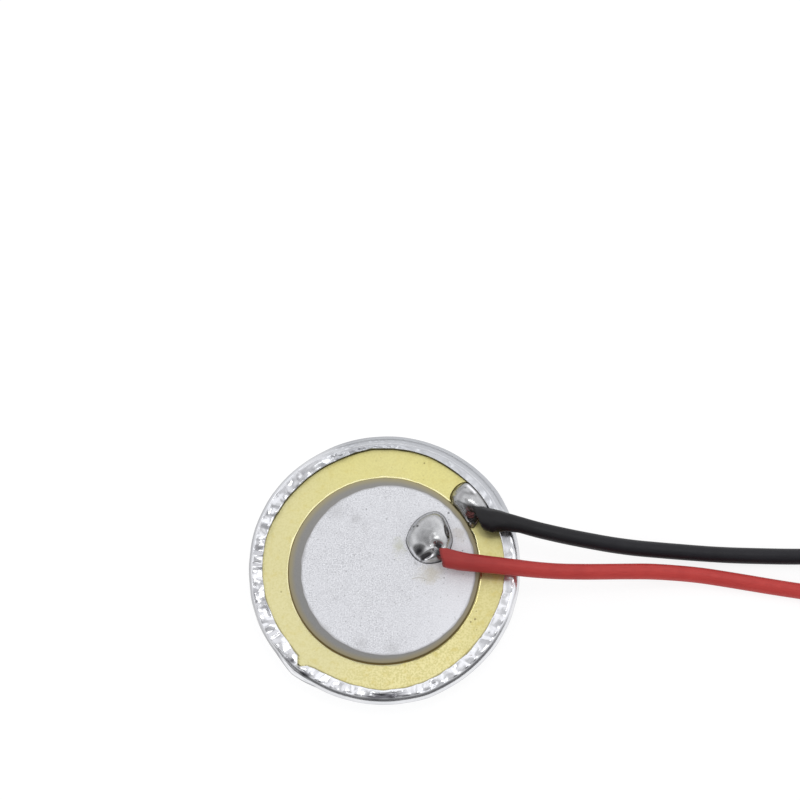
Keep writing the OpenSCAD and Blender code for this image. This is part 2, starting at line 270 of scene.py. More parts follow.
def make_piece(name, points, quads, tris=None, values=None):
    """A smooth-shaded mesh object at the origin from points in millimetres. values are named
    numbers per point that the materials read. The faces are turned to point outwards."""
    points = np.asarray(points, float)
    groups = [g for g in (quads, tris) if g is not None and len(g)]
    if sum(enclosed(points, g) for g in groups) < 0:
        groups = [g[:, ::-1] for g in groups]
    sizes = np.concatenate([np.full(len(g), g.shape[1]) for g in groups])
    loops = np.concatenate([g.ravel() for g in groups])
    mesh = bpy.data.meshes.new(name)
    mesh.vertices.add(len(points))
    mesh.vertices.foreach_set("co", (points * MM).astype(np.float32).ravel())
    mesh.loops.add(len(loops))
    mesh.loops.foreach_set("vertex_index", loops.astype(np.int32))
    mesh.polygons.add(len(sizes))
    starts = np.concatenate([[0], np.cumsum(sizes)[:-1]])
    mesh.polygons.foreach_set("loop_start", starts.astype(np.int32))
    mesh.polygons.foreach_set("loop_total", sizes.astype(np.int32))
    mesh.polygons.foreach_set("use_smooth", np.full(len(sizes), True))
    mesh.update(calc_edges=True)
    mesh.validate()
    for key, numbers in (values or {}).items():
        layer = mesh.attributes.new(key, "FLOAT", "POINT")
        layer.data.foreach_set("value", np.asarray(numbers, np.float32).ravel())
    piece = bpy.data.objects.new(name, mesh)
    bpy.context.scene.collection.objects.link(piece)
    return piece


def ring_surface(name, grid, values=None):
    """Closed ring: a grid [direction, place round the section] closed both ways."""
    nu, nv = grid.shape[:2]
    return make_piece(name, grid.reshape(-1, 3), grid_faces(nu, nv, True, True), values=values)


def capped(grid):
    """Points, quads and triangles of a closed skin: a grid [place along, place around] with
    a fan of triangles about a middle point at each end."""
    nu, nv = grid.shape[:2]
    points = np.vstack([grid.reshape(-1, 3), grid[0].mean(0), grid[-1].mean(0)])
    j = np.arange(nv)
    jj = (j + 1) % nv
    first = np.stack([np.full(nv, nu * nv), j, jj], 1)
    last = np.stack([np.full(nv, nu * nv + 1), (nu - 1) * nv + jj, (nu - 1) * nv + j], 1)
    return points, grid_faces(nu, nv, False, True), np.vstack([first, last])


def capped_surface(name, grid, values=None):
    """Closed skin with capped ends. values are given on the grid; the middle points take
    the first and the last number."""
    points, quads, tris = capped(grid)
    if values:
        values = {k: np.concatenate([np.ravel(v), [np.ravel(v)[0], np.ravel(v)[-1]]])
                  for k, v in values.items()}
    return make_piece(name, points, quads, tris, values)


def tube_grid(path, radii, sides, shift=0.0):
    """Rings round a path as a grid [along, around], each radius by its direction. shift
    moves each ring sideways."""
    _, side, rise = path_frame(path)
    _, spin = circle(sides)
    radii = np.broadcast_to(np.reshape(radii, (len(path), -1)), (len(path), sides))
    centre = path + np.reshape(shift, (-1, 1)) * side
    return (centre[:, None] + radii[..., None]
            * (spin[:, :1] * side[:, None] + spin[:, 1:] * rise[:, None]))


# ---- node materials ----

class Value:
    """An output socket whose arithmetic adds Math nodes to its material."""

    def __init__(self, nodes, socket):
        self.nodes, self.socket = nodes, socket

    def _math(self, operation, *terms):
        return self.nodes.add("ShaderNodeMath", {"operation": operation},
                              dict(enumerate(terms)))

    def __add__(self, other): return self._math("ADD", self, other)
    def __sub__(self, other): return self._math("SUBTRACT", self, other)
    def __mul__(self, other): return self._math("MULTIPLY", self, other)
    def __truediv__(self, other): return self._math("DIVIDE", self, other)
    def __pow__(self, other): return self._math("POWER", self, other)
    def __rsub__(self, other): return self._math("SUBTRACT", other, self)
    def __rtruediv__(self, other): return self._math("DIVIDE", other, self)
    __radd__, __rmul__ = __add__, __mul__

    def larger(self, other): return self._math("MAXIMUM", self, other)

    def step(self, lo, hi):
        """0 where this is lo, 1 where it is hi, an S-curve between; lo may be above hi."""
        return self.nodes.add("ShaderNodeMapRange", {"interpolation_type": "SMOOTHSTEP"},
                              {"Value": self, "From Min": lo, "From Max": hi})

    def bell(self, centre, width):
        """1 at centre, 0 a width away on both sides."""
        return self._math("ABSOLUTE", self - centre).step(width, 0)


class Nodes:
    """The nodes of one material."""

    def __init__(self, name, tree=None):
        if tree is None:
            self.material = bpy.data.materials.new(name)
            self.material.use_nodes = True
            tree = self.material.node_tree
        self.tree = tree
        tree.nodes.clear()

    def add(self, kind, settings=None, sockets=None, out=0):
        """Adds a node: its settings first, then its sockets' values or links."""
        node = self.tree.nodes.new(kind)
        for key, value in (settings or {}).items():
            setattr(node, key, value)
        for key, value in (sockets or {}).items():
            socket = node.inputs[key]
            if isinstance(value, Value):
                self.tree.links.new(value.socket, socket)
            elif socket.type == "RGBA" and len(value) == 3:
                socket.default_value = (*value, 1)
            else:
                socket.default_value = value
        return Value(self, node.outputs[out] if node.outputs else None)

    def place(self):
        """The point on the object in metres."""
        return self.add("ShaderNodeTexCoord", out=3)

    def split(self, vector):
        """The three numbers of a vector."""
        node = self.add("ShaderNodeSeparateXYZ", sockets={0: vector}).socket.node
        return [Value(self, node.outputs[i]) for i in range(3)]

    def joined(self, x, y, z):
        """A vector of three numbers."""
        return self.add("ShaderNodeCombineXYZ", sockets={0: x, 1: y, 2: z})

    def stretched(self, vector, x, y, z):
        """A vector with each of its numbers multiplied."""
        return self.add("ShaderNodeVectorMath", {"operation": "MULTIPLY"},
                        {0: vector, 1: (x, y, z)})

    def away(self, vector, x, y, z):
        """Distance of a vector from the point that three numbers give."""
        return self.add("ShaderNodeVectorMath", {"operation": "DISTANCE"},
                        {0: vector, 1: (x, y, z)}, out=1)

    def away_mm(self, at, x, y, z):
        """Distance in millimetres of a place from a point that is given in millimetres."""
        return self.away(at, x * MM, y * MM, z * MM) / MM

    def noise(self, vector, per_mm, detail, rough=0.5):
        """Noise of about per_mm waves in a millimetre, from 0 to 1."""
        return self.add("ShaderNodeTexNoise", sockets={
            "Vector": vector, "Scale": per_mm / MM, "Detail": detail, "Roughness": rough})

    def attribute(self, name):
        """A number that the mesh carries at each point."""
        return self.add("ShaderNodeAttribute", {"attribute_name": name}, out=2)

    def mix(self, factor, a, b):
        """Colour a where the factor is 0, colour b where it is 1."""
        return self.add("ShaderNodeMix", {"data_type": "RGBA"}, {0: factor, 6: a, 7: b}, out=2)

    def bump(self, height, depth_mm, strength, under=None):
        """A normal tilted by a height of 0..1 over the given depth, on top of another."""
        sockets = {"Height": height, "Distance": depth_mm * MM, "Strength": strength}
        if under is not None:
            sockets["Normal"] = under
        return self.add("ShaderNodeBump", None, sockets)

    def finish(self, **sockets):
        """Ends the material in one principled shader; names use _ for spaces."""
        named = {k.replace("_", " "): v for k, v in sockets.items()}
        shader = self.add("ShaderNodeBsdfPrincipled", None, named)
        self.add("ShaderNodeOutputMaterial", None, {"Surface": shader})
        return self.material


def specks(nodes, where, per_mm, size, share):
    """Sparse dark dots: cells of the given density, a share of which hold a dot of that
    size in cells. 1 on a dot, 0 off it."""
    cell = nodes.add("ShaderNodeTexVoronoi", None,
                     {"Vector": where, "Scale": per_mm / MM, "Randomness": 1.0})
    pick = nodes.split(Value(nodes, cell.socket.node.outputs["Color"]))[0]
    return cell.step(size, size * 0.45) * pick.step(share, share * 0.9)


def dress(piece, material, slot, *replaced):
    """Gives a piece its material and, where it isn't one of the solids itself, puts it in the root
    body and hides the solids that it stands for. The finish that it is given is not used."""
    piece.data.materials.clear()
    piece.data.materials.append(material)
    if "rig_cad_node" not in piece:
        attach(piece, "root")
        if replaced:
            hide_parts(*replaced)
    return piece


# ---- materials ----

def aluminium_sheet():
    """Bright rolled aluminium: satin on the flats, glossier where it was drawn and crimped,
    rougher on the smooth side of the lip, with painted shade there and painted highlight
    lines, and painted shade and reflections in the lip's wrinkles and on the rim's outside."""
    n = Nodes("aluminium_sheet")
    at = n.place()
    gloss, dull_and_shaded = n.attribute("gloss"), n.attribute("dull_and_shaded")
    grain = n.noise(n.stretched(at, 1, 1, 0.2), 9, 3)
    rolled = n.noise(n.stretched(at, 0.25, 5, 1), 4, 3)
    cloud = n.noise(at, 0.5, 3)
    rough = 0.40 - gloss * 0.20 + dull_and_shaded * 0.12 + (grain - 0.5) * 0.14 + (cloud - 0.5) * 0.10
    colour = n.mix(cloud.step(0.3, 0.7), (0.79, 0.80, 0.825), (0.87, 0.875, 0.895))
    # Darker colour on the smooth side: painted shade; where it stops are painted highlight lines.
    colour = n.mix(dull_and_shaded * 0.8, colour, (0.48, 0.495, 0.52))
    # Painted shade and reflections on the rim's outside, in the lip's facets and in its dents.
    colour = n.mix(n.attribute("painted_shade"), colour, (0.13, 0.128, 0.142))
    colour = n.mix(specks(n, at, 1.1, 0.10, 0.22) * 0.55, colour, (0.30, 0.30, 0.31))
    flat = 1 - gloss * 0.95
    normal = n.bump(rolled * flat, 0.004, 0.5)
    normal = n.bump(grain * flat, 0.006, 0.5, normal)
    return n.finish(Base_Color=colour, Metallic=1.0, Roughness=rough, Normal=normal)


# Dark spots on the brass: x, y and size
BRASS_SPOTS = ((7.2, -3.9, 0.13), (6.86, -4.12, 0.10), (3.05, 8.75, 0.09))


def brass_sheet():
    """Pale brass: fine grain, faint warm blotches, small dark specks, painted light towards the
    front right, painted shade towards the right, and grime with painted shade where it runs in
    under the lip."""
    n = Nodes("brass_sheet")
    at = n.place()
    x, y, _ = n.split(at)
    grain = n.noise(at, 6.5, 3, 0.6)
    blotch = n.noise(at, 1.3, 3, 0.6)
    cloud = n.noise(at, 0.25, 3)
    side = ((x * 0.5 + y) / MM * 0.055 + 0.30 + (cloud - 0.5) * 0.9).step(0, 1)
    colour = n.mix(side, (0.755, 0.705, 0.395), (0.745, 0.69, 0.29))
    # Lighter towards the front right: painted light.
    near = ((x * 0.9 - y) / MM).step(3.0, 9.0)
    colour = n.mix(near * 0.6, colour, (0.86, 0.78, 0.40))
    # Darker towards the right: painted shade.
    colour = n.mix((x / MM).step(4.5, 9.0) * 0.5, colour, (0.61, 0.56, 0.265))
    colour = n.mix(grain.step(0.40, 0.62) * (0.35 + near * 0.4), colour, (0.63, 0.575, 0.25))
    colour = n.mix(blotch.step(0.50, 0.70) * (0.32 + near * 0.3), colour, (0.67, 0.575, 0.20))
    colour = n.mix(specks(n, at, 2.4, 0.18, 0.30) * 0.30, colour, (0.40, 0.34, 0.14))
    colour = n.mix(specks(n, at, 1.1, 0.10, 0.22) * 0.6, colour, (0.30, 0.25, 0.09))
    for px, py, size in BRASS_SPOTS:
        dot = n.away_mm(at, px, py, BRASS_TOP).step(size, size * 0.4)
        colour = n.mix(dot * 0.75, colour, (0.22, 0.17, 0.06))
    # Grime with painted shade just inside the lip's edge.
    colour = n.mix(n.attribute("grime_and_shade"), colour, (0.075, 0.06, 0.025))
    rough = 0.44 + (grain - 0.5) * 0.14 + (blotch - 0.5) * 0.10
    return n.finish(Base_Color=colour, Metallic=1.0, Roughness=rough,
                    Normal=n.bump(grain, 0.004, 0.5))


def fired_ceramic():
    """Bare grey ceramic, brownish towards its outer edge. It is painted lighter towards the back
    as painted light, and a dark line at its edge, strongest at the front, is painted shade.
    """
    n = Nodes("fired_ceramic")
    at = n.place()
    x, y, _ = n.split(at)
    r = ((x * x + y * y) ** 0.5) / MM
    grain = n.noise(at, 8, 3, 0.6)
    cloud = n.noise(at, 0.7, 3)
    colour = n.mix(grain, (0.188, 0.187, 0.182), (0.268, 0.266, 0.258))
    # Lighter towards the back: painted light.
    colour = n.mix(((x * 0.4 + y) / MM).step(-8.0, 8.0) * 0.28, colour, (0.37, 0.35, 0.31))
    brown = (r + (cloud - 0.5) * 0.16).step(6.92, 7.46) * 0.9
    # The brown is lighter towards the back: painted light.
    tan = n.mix((y / MM).step(-5.0, 6.0), (0.285, 0.240, 0.130), (0.35, 0.305, 0.165))
    colour = n.mix(brown, colour, tan)
    # Dark line at the edge, strongest at the front: painted shade.
    front = (y / MM).step(6.0, -6.0) * 0.4 + 0.35
    colour = n.mix(r.step(7.42, 7.5) * front, colour, (0.10, 0.07, 0.02))
    return n.finish(Base_Color=colour, Roughness=0.62 + (grain - 0.5) * 0.2,
                    Normal=n.bump(grain, 0.006, 0.5))


# Stains on the silver, of flux by the red joint and grey elsewhere: x, y, size, strength, tint
STAINS = (
    (1.15, 2.1, 0.75, 0.5, (0.52, 0.53, 0.42)),
    (1.15, 1.6, 0.7, 0.4, (0.54, 0.54, 0.44)),
    (2.5, 0.62, 0.3, 0.5, (0.30, 0.30, 0.30)),
    (3.7, -0.5, 0.9, 0.4, (0.52, 0.48, 0.36)),
    (4.1, 0.2, 1.3, 0.25, (0.54, 0.48, 0.37)),
    (3.2, -0.5, 1.1, 0.2, (0.56, 0.52, 0.42)),
    (5.9, 2.9, 0.8, 0.40, (0.50, 0.46, 0.38)),
    (-3.9, 4.8, 1.1, 0.35, (0.46, 0.46, 0.47)),
    (-2.2, 4.2, 0.6, 0.4, (0.42, 0.42, 0.43)),
    (-4.9, -4.9, 0.9, 0.45, (0.46, 0.46, 0.46)),
    (-1.7, -5.9, 0.7, 0.4, (0.45, 0.45, 0.46)),
    (0.8, -6.3, 0.8, 0.4, (0.48, 0.48, 0.49)))


def printed_silver():
    """Matte printed silver: fine mottled grain, dark specks of three sizes, grey where the
    print thins out at its edge, a thin flux line and a dot by the red joint, and stains."""
    n = Nodes("printed_silver")
    at = n.place()
    x, y, _ = n.split(at)
    fine = n.noise(at, 10.0, 3, 0.7)
    mottle = n.noise(at, 1.7, 4, 0.65)
    cloud = n.noise(at, 0.32, 3)
    colour = n.mix(fine.step(0.33, 0.67), (0.51, 0.515, 0.54), (0.885, 0.895, 0.92))
    colour = n.mix(mottle.step(0.50, 0.70) * 0.35, colour, (0.52, 0.52, 0.54))
    colour = n.mix(cloud.step(0.35, 0.65) * 0.3, colour, (0.76, 0.77, 0.80))
    # Lighter towards the right: painted light.
    colour = n.mix((x / MM).step(1.0, 6.0) * 0.5, colour, (0.86, 0.87, 0.90))
    colour = n.mix(specks(n, at, 3.4, 0.26, 0.30) * 0.45, colour, (0.27, 0.27, 0.27))
    colour = n.mix(specks(n, at, 1.3, 0.11, 0.30) * 0.6, colour, (0.14, 0.135, 0.13))
    colour = n.mix(specks(n, at, 0.5, 0.045, 0.45) * 0.75, colour, (0.08, 0.075, 0.07))
    r = (((x / MM - SILVER_SHIFT) ** 2 + (y / MM) ** 2) ** 0.5) + (mottle - 0.5) * 0.16
    colour = n.mix(r.step(6.66, 6.86) * 0.7, colour, (0.36, 0.355, 0.36))
    hair = n.away_mm(at, 2.75, -1.95, SILVER_TOP).bell(1.33, 0.05)
    hair = hair * n.away_mm(at, 2.8, -0.7, SILVER_TOP).step(0.7, 0.5)
    colour = n.mix(hair * 0.6, colour, (0.28, 0.25, 0.19))
    dot = n.away_mm(at, 5.03, 4.62, SILVER_TOP).step(0.12, 0.05)
    colour = n.mix(dot * 0.8, colour, (0.10, 0.10, 0.11))
    for px, py, size, strength, tint in STAINS:
        ragged = n.away_mm(at, px, py, SILVER_TOP) + (mottle - 0.5) * 1.8
        colour = n.mix(ragged.step(size, size * 0.2) * strength, colour, tint)
    rough = 0.55 + (fine - 0.5) * 0.2
    return n.finish(Base_Color=colour, Metallic=0.1, Roughness=rough,
                    Normal=n.bump(fine, 0.008, 0.6))


def epoxy_bead():
    """Thin adhesive: dark amber where it meets the ceramic, glossy over the brass that it lies
    on, with a pale yellow painted highlight there that is wider towards the back and darkened at
    the front right as painted shade."""
    n = Nodes("epoxy_bead")
    at = n.place()
    x, y, _ = n.split(at)
    r = ((x * x + y * y) ** 0.5) / MM
    cloud = n.noise(at, 1.2, 3)
    # Moves the painted highlight's inner edge so that it is wider towards the back.
    sunny = (x * 0.25 + y * 0.8) / MM
    edge = r + (cloud - 0.5) * 0.04 + sunny * 0.007
    # Darker at the front right: painted shade over the painted highlight.
    front = ((x * 0.8 - y * 0.6) / MM).step(5.2, 7.1)
    # Pale yellow over the brass: a painted highlight line.
    rim = n.mix(front, (0.93, 0.87, 0.50), (0.50, 0.45, 0.20))
    colour = n.mix(edge.step(7.53, 7.60), (0.15, 0.10, 0.02), rim)
    return n.finish(Base_Color=colour, Metallic=edge.step(7.52, 7.59),
                    Roughness=0.24 + (cloud - 0.5) * 0.1, Coat_Weight=0.3)


def bright_solder():
    """Solder: frosted in clouds, darkened by burnt flux, by painted shade and by painted
    reflections, and white where highlights are painted.
    """
    n = Nodes("bright_solder")
    at = n.place()
    dark_share, frosted = n.attribute("dark_share"), n.attribute("frosted")
    cloud = n.noise(at, 1.5, 4, 0.6)
    fine = n.noise(at, 9, 3, 0.6)
    colour = n.mix(cloud.step(0.35, 0.7), (0.57, 0.575, 0.58), (0.46, 0.465, 0.47))
    colour = n.mix(fine.step(0.55, 0.75) * 0.3, colour, (0.42, 0.42, 0.425))
    # Burnt flux, painted shade and painted reflections darken the solder.
    colour = n.mix(dark_share, colour, (0.035, 0.034, 0.037))
    colour = n.mix(n.attribute("amber"), colour, (0.075, 0.06, 0.018))
    # Painted highlights: a near-white colour.
    colour = n.mix(n.attribute("bare"), colour, (0.95, 0.95, 0.97))
    rough = 0.13 + frosted * 0.10 + cloud * 0.08 + (fine - 0.5) * 0.08
    return n.finish(Base_Color=colour, Metallic=1.0 - dark_share * 0.55, Roughness=rough,
                    Normal=n.bump(fine, 0.005, 0.5))


def copper_strands():
    """Dull red copper, darkened by heat."""
    n = Nodes("copper_strands")
    at = n.place()
    cloud = n.noise(at, 3, 3)
    colour = n.mix(cloud.step(0.35, 0.7), (0.07, 0.020, 0.020), (0.17, 0.050, 0.045))
    return n.finish(Base_Color=colour, Metallic=0.4, Roughness=0.55 + (cloud - 0.5) * 0.2,
                    Normal=n.bump(cloud, 0.004, 0.5))


def tinned_copper():
    """Tin over twisted copper, slightly uneven."""
    n = Nodes("tinned_copper")
    at = n.place()
    cloud = n.noise(at, 4, 3)
    colour = n.mix(cloud.step(0.4, 0.75), (0.72, 0.72, 0.73), (0.60, 0.57, 0.54))
    return n.finish(Base_Color=colour, Metallic=1.0, Roughness=0.28 + (cloud - 0.5) * 0.2,
                    Normal=n.bump(cloud, 0.006, 0.5))


def soft_pvc(name, light, dark, rough, burnt_colour):
    """Soft extruded PVC: faint streaks along the lead, fine grain, darker where burnt."""
    n = Nodes(name)
    at = n.place()
    along, around = n.attribute("along"), n.attribute("around")
    lay = n.joined(along * 0.0012, around * 0.006, 0.0)
    streak = n.noise(lay, 0.9, 3, 0.6)
    grain = n.noise(at, 7, 3, 0.6)
    cloud = n.noise(at, 0.22, 2)
    colour = n.mix((streak * 0.6 + cloud * 0.4).step(0.3, 0.7), light, dark)
    colour = n.mix(n.attribute("dark_share"), colour, burnt_colour)
    rough = rough + (grain - 0.5) * 0.12 + (streak - 0.5) * 0.12
    normal = n.bump(streak, 0.02, 0.4)
    normal = n.bump(grain, 0.006, 0.5, normal)
    return n.finish(Base_Color=colour, Roughness=rough, Normal=normal, Specular_IOR_Level=0.3)


def tie_plastic():
    """Matte white plastic of the tie round the coils, with a grain drawn out round it."""
    n = Nodes("tie_plastic")
    at = n.place()
    grain = n.noise(n.stretched(at, 1, 1, 3), 5, 4, 0.65)
    colour = n.mix(grain, (0.78, 0.77, 0.73), (0.88, 0.87, 0.84))
    return n.finish(Base_Color=colour, Roughness=0.7 + (grain - 0.5) * 0.2,
                    Normal=n.bump(grain, 0.01, 0.5))


# ---- leads ----

# Centrelines of the laid stretches, from inside the solder to the start of the coils
RED_ROUTE = [
    [4.65, 0.62, 3.67], [6.8, 0.33, 3.6], [9.2, 0.1, 3.5], [11.7, -0.16, 3.4],
    [13.6, -0.26, 3.22], [15.5, -0.22, 2.92], [17.3, -0.12, 2.54], [19.2, 0, 2.1],
    [21, 0.1, 1.66], [22.9, 0.08, 1.26], [24.8, -0.04, 0.95], [26.6, -0.26, 0.75],
    [28.5, -0.55, 0.65], [30.4, -0.87, 0.63], [32.3, -1.18, 0.63], [34.5, -1.5, 0.64],
    [36.8, -1.76, 0.7], [39.2, -1.93, 0.77]]
BLACK_ROUTE = [
    [7.64, 4.3, 3.5], [8.7, 4.02, 3.57], [9.9, 3.65, 3.58], [11.9, 3.07, 3.5],
    [13.1, 2.8, 3.38], [14.4, 2.55, 3.19], [15.9, 2.32, 2.9], [17.75, 2.09, 2.45],
    [19.6, 1.95, 1.95], [21.5, 1.88, 1.5], [23.3, 1.82, 1.12], [25.2, 1.74, 0.85],
    [27.1, 1.67, 0.7], [29, 1.62, 0.64], [30.9, 1.58, 0.63], [32.6, 1.56, 0.68],
    [34.2, 1.52, 0.98], [35.8, 1.4, 1.46], [37.3, 1.14, 1.88]]
PATH_STEP = 0.2
# Radius of the insulation by the length along it: swollen at the soldered end
RED_WIDTH = [(0, 0.80), (0.4, 0.81), (1.0, 0.76), (2, 0.70), (5, 0.665), (8, 0.635),
             (10, 0.62), (97, 0.62)]
BLACK_WIDTH = [(0, 0.86), (0.9, 0.885), (1.7, 0.795), (2.5, 0.705), (3.3, 0.63), (97, 0.625)]
# Height that the swollen insulation hardly passes, and over what height it flattens off
FLAT_TOP, FLAT_EASE = 4.12, 0.22
# Least height of the leads and of their tie above the floor
CORD_LOW, TIE_LOW = 0.004, 0.005


def direction(degrees):
    """Level unit vector at an angle from +X."""
    return np.array([math.cos(math.radians(degrees)), math.sin(math.radians(degrees))])


def coil_path(heading, z, turned, exit_angle):
    """Level centreline of a lead's coiled end: a straight run onto the outer turn, a spiral
    that closes in by one diameter a turn over the turned angle, a cubic curve off it and a
    straight end."""
    start_angle = heading - 90
    foot = COIL_AT + OUTER_TURN_R * direction(start_angle)
    run = foot - np.linspace(RUN_L, 0, 12, endpoint=False)[:, None] * direction(heading)
    a = np.linspace(0, turned, 80)
    r = OUTER_TURN_R - LEAD_D * a / 360
    rad = np.radians(start_angle + a)
    spiral = COIL_AT + r[:, None] * np.stack([np.cos(rad), np.sin(rad)], 1)
    leave = COIL_AT + (COIL_IN_R + 0.6) * direction(exit_angle)
    out = direction(exit_angle + 135)
    reach = 0.4 * np.linalg.norm(leave - spiral[-1])
    first_hold = spiral[-1] + direction(start_angle + turned + 90) * reach
    last_hold = leave - out * reach
    t = np.linspace(0, 1, 14)[1:, None]
    bend = ((1 - t) ** 3 * spiral[-1] + 3 * (1 - t) ** 2 * t * first_hold
            + 3 * (1 - t) * t ** 2 * last_hold + t ** 3 * leave)
    last = leave + np.linspace(0, 2.2, 8)[1:, None] * out
    flat = np.vstack([run, spiral, bend, last])
    return np.column_stack([flat, np.full(len(flat), z)])


def lead_path(route, heading, z, exit_angle, turned):
    """The whole centreline of a lead's insulation, as points an even step apart."""
    coiled = coil_path(heading, z, turned, exit_angle)
    laid = smooth_path(np.vstack([route, coiled[:1]]), PATH_STEP)
    return even_path(np.vstack([laid[:-1], coiled]), PATH_STEP)


def fitted_path(route, heading, z, exit_angle, guess):
    """The lead's centreline with the spiral turned just so far that the length is right."""
    low, high = guess - 60, guess + 60
    for _ in range(24):
        middle = (low + high) / 2
        path = lead_path(route, heading, z, exit_angle, middle)
        length = np.linalg.norm(np.diff(path, axis=0), axis=1).sum()
        low, high = (middle, high) if length < LEAD_L else (low, middle)
    return path


def bore_mouth(ring, outwards):
    """Rings from an end ring of the insulation over its rounded lip and down the bore, which
    is a little wider than the conductor, to the middle of its bottom."""
    centre = ring.mean(0)
    spoke = ring - centre
    size = np.linalg.norm(spoke, axis=1).mean()
    bore = STRANDS_D / 2 + 0.05
    steps = ((size - 0.035, 0.045), (size - 0.10, 0.075), (size - 0.2, 0.085),
             (bore + 0.06, 0.07), (bore, 0.02), (bore, -0.25), (bore, -0.6), (bore * 0.3, -0.6))
    return np.stack([centre + spoke * r / size + outwards * d for r, d in steps])


def insulation(name, path, width_at, to_side, slant, seed):
    """Insulated lead: a round section carried along the path. Its radius follows width_at
    with a little waviness, more where it is swollen. The swollen end is moved to one side
    and flattened on top, its cut is slanted and ragged, and both ends open into a bore."""
    s = np.arange(len(path)) * PATH_STEP
    a, spin = circle(48)
    width = np.interp(s, *zip(*width_at))
    extra = width - LEAD_D / 2
    swollen = np.clip(extra / 0.25, 0, 1.2)[:, None]
    radii = width[:, None] * (1 - 0.05 * bell(s, 0.3))[:, None]
    radii = radii * (1 + 0.010 * skin_waves(a, s, 2, 0.55, 3.0, seed))
    radii = radii * (1 + 0.05 * swollen * skin_waves(a, s, 3, 2, 2.4, seed + 1))
    body = tube_grid(path, radii, len(a), (extra + 0.13 * bell(s, 1.3)) * to_side)

    along, _, _ = path_frame(path)
    ragged = 0.10 * waves(spin * 3, 2.0, seed + 2, 10)
    cut = (np.cos(a) - 0.12) * slant + ragged * (0.4 + slant)
    body = body + (cut * bell(s, 1.4)[:, None])[..., None] * along[:, None]
    z = body[..., 2]
    flattened = FLAT_TOP + FLAT_EASE * np.tanh((z - FLAT_TOP) / FLAT_EASE)
    body[..., 2] = np.maximum(np.where(z > FLAT_TOP, flattened, z), CORD_LOW)

    first, last = bore_mouth(body[0], -along[0]), bore_mouth(body[-1], along[-1])
    grid = np.concatenate([first[::-1], body, last])
    lengths = np.concatenate([np.zeros(len(first)), s, np.full(len(last), s[-1])])
    heat = 0.8 * np.maximum(bell(s, 0.22), 0.62 * bell(s, 6.5))
    dark_share = np.concatenate([np.full(len(first), 0.8), heat, np.zeros(len(last))])
    size = grid.shape[:2]
    return capped_surface(name, grid, {"along": np.broadcast_to(lengths[:, None], size),
                                       "around": np.broadcast_to(np.sin(a) * 3, size),
                                       "dark_share": np.broadcast_to(dark_share[:, None], size)})


def strand_bundle(name, path, strand_d, pitch):
    """Seven twisted strands: six round the middle one in a helix of the given pitch, each a
    round section carried along its own line, with domed ends."""
    s = run_length(path)
    _, side, rise = path_frame(path)
    end = np.clip(np.minimum(s, s[-1] - s) / (strand_d / 2), 0, 1)
    dome = np.sqrt(np.clip(1 - (1 - end) ** 2, 0.02, 1))
    points, quads, tris = [], [], []
    for k, off in enumerate([strand_d] * 6 + [0]):
        phase = (TAU * k / 6 + TAU * s / pitch)[:, None]
        line = path + off * (np.cos(phase) * side + np.sin(phase) * rise)
        strand, sides, ends = capped(tube_grid(line, strand_d / 2 * dome, 10))
        base = len(strand) * k
        points.append(strand)
        quads.append(sides + base)
        tris.append(ends + base)
    return make_piece(name, np.vstack(points), np.vstack(quads), np.vstack(tris))


def tip_path(path):
    """From inside the bore of a lead's end to the end of its bare conductor."""
    out = unit(path[-1] - path[-2])
    return path[-1] + np.linspace(-0.5, TIP_L, 60)[:, None] * out


def scorch():
    """Scorched scrap of the black insulation that hangs over its conductor: a lumpy round
    section along a short curve, tapering to both ends."""
    path = smooth_path([[7.36, 4.66, 3.52], [7.30, 4.52, 3.42], [7.24, 4.32, 3.26],
                        [7.16, 4.0, 2.98], [7.06, 3.78, 2.72]], 0.03)
    s = np.linspace(0, 1, len(path))
    a, _ = circle(28)
    width = 0.25 * np.sqrt(np.clip(1 - (2 * s - 0.8) ** 4, 0.01, 1)) * (1.1 - 0.5 * s)
    lumps = skin_waves(a, s, 1, 5, 1.6, 71)
    grid = tube_grid(path, width[:, None] * (1 + 0.25 * lumps), len(a))
    full = np.ones(grid.shape[:2])
    return capped_surface("black_scorch", grid, {"along": full, "around": full, "dark_share": full})


red_path = fitted_path(RED_ROUTE, 0, (RED_COIL_LOW + RED_COIL_TOP) / 2, 10, 422)
black_path = fitted_path(BLACK_ROUTE, -25, (BLACK_COIL_LOW + BLACK_COIL_TOP) / 2, 40, 475)
red_cord = insulation("red_cord", red_path, RED_WIDTH, -0.3, 0.30, 11)
black_cord = insulation("black_cord", black_path, BLACK_WIDTH, 1.0, 0.66, 12)
red_tip = strand_bundle("red_tip", tip_path(red_path), 0.2, 4.0)
black_tip = strand_bundle("black_tip", tip_path(black_path), 0.2, 4.0)
red_wires = strand_bundle("red_wires", smooth_path(
    [[3.95, 1.60, 2.95], [4.25, 1.25, 3.1], [4.62, 0.74, 3.46],
     [5.2, 0.56, 3.66]], 0.06), 0.17, 3.0)
black_wires = strand_bundle("black_wires", smooth_path(
    [[6.62, 4.62, 2.62], [6.76, 4.36, 2.92], [7.2, 4.26, 3.2], [7.9, 4.17, 3.40],
     [8.4, 4.05, 3.47]], 0.06), 0.17, 3.0)

red_plastic = soft_pvc("red_pvc", (0.53, 0.050, 0.043), (0.43, 0.035, 0.032), 0.44,
                       (0.16, 0.015, 0.015))
black_plastic = soft_pvc("black_pvc", (0.0118, 0.0116, 0.0155), (0.0065, 0.0062, 0.009), 0.48,
                         (0.006, 0.0055, 0.005))
tinned = tinned_copper()
copper = copper_strands()
dress(red_cord, red_plastic, "red_insulation", "red_lead", "red_coil")
dress(black_cord, black_plastic, "black_insulation", "black_lead", "black_coil")
dress(scorch(), black_plastic, "black_insulation")
dress(red_tip, tinned, "conductor_tinned", "red_tinned_tip")
dress(black_tip, tinned, "conductor_tinned", "black_tinned_tip")
dress(red_wires, copper, "conductor", "red_strands")
dress(black_wires, copper, "conductor", "black_strands")


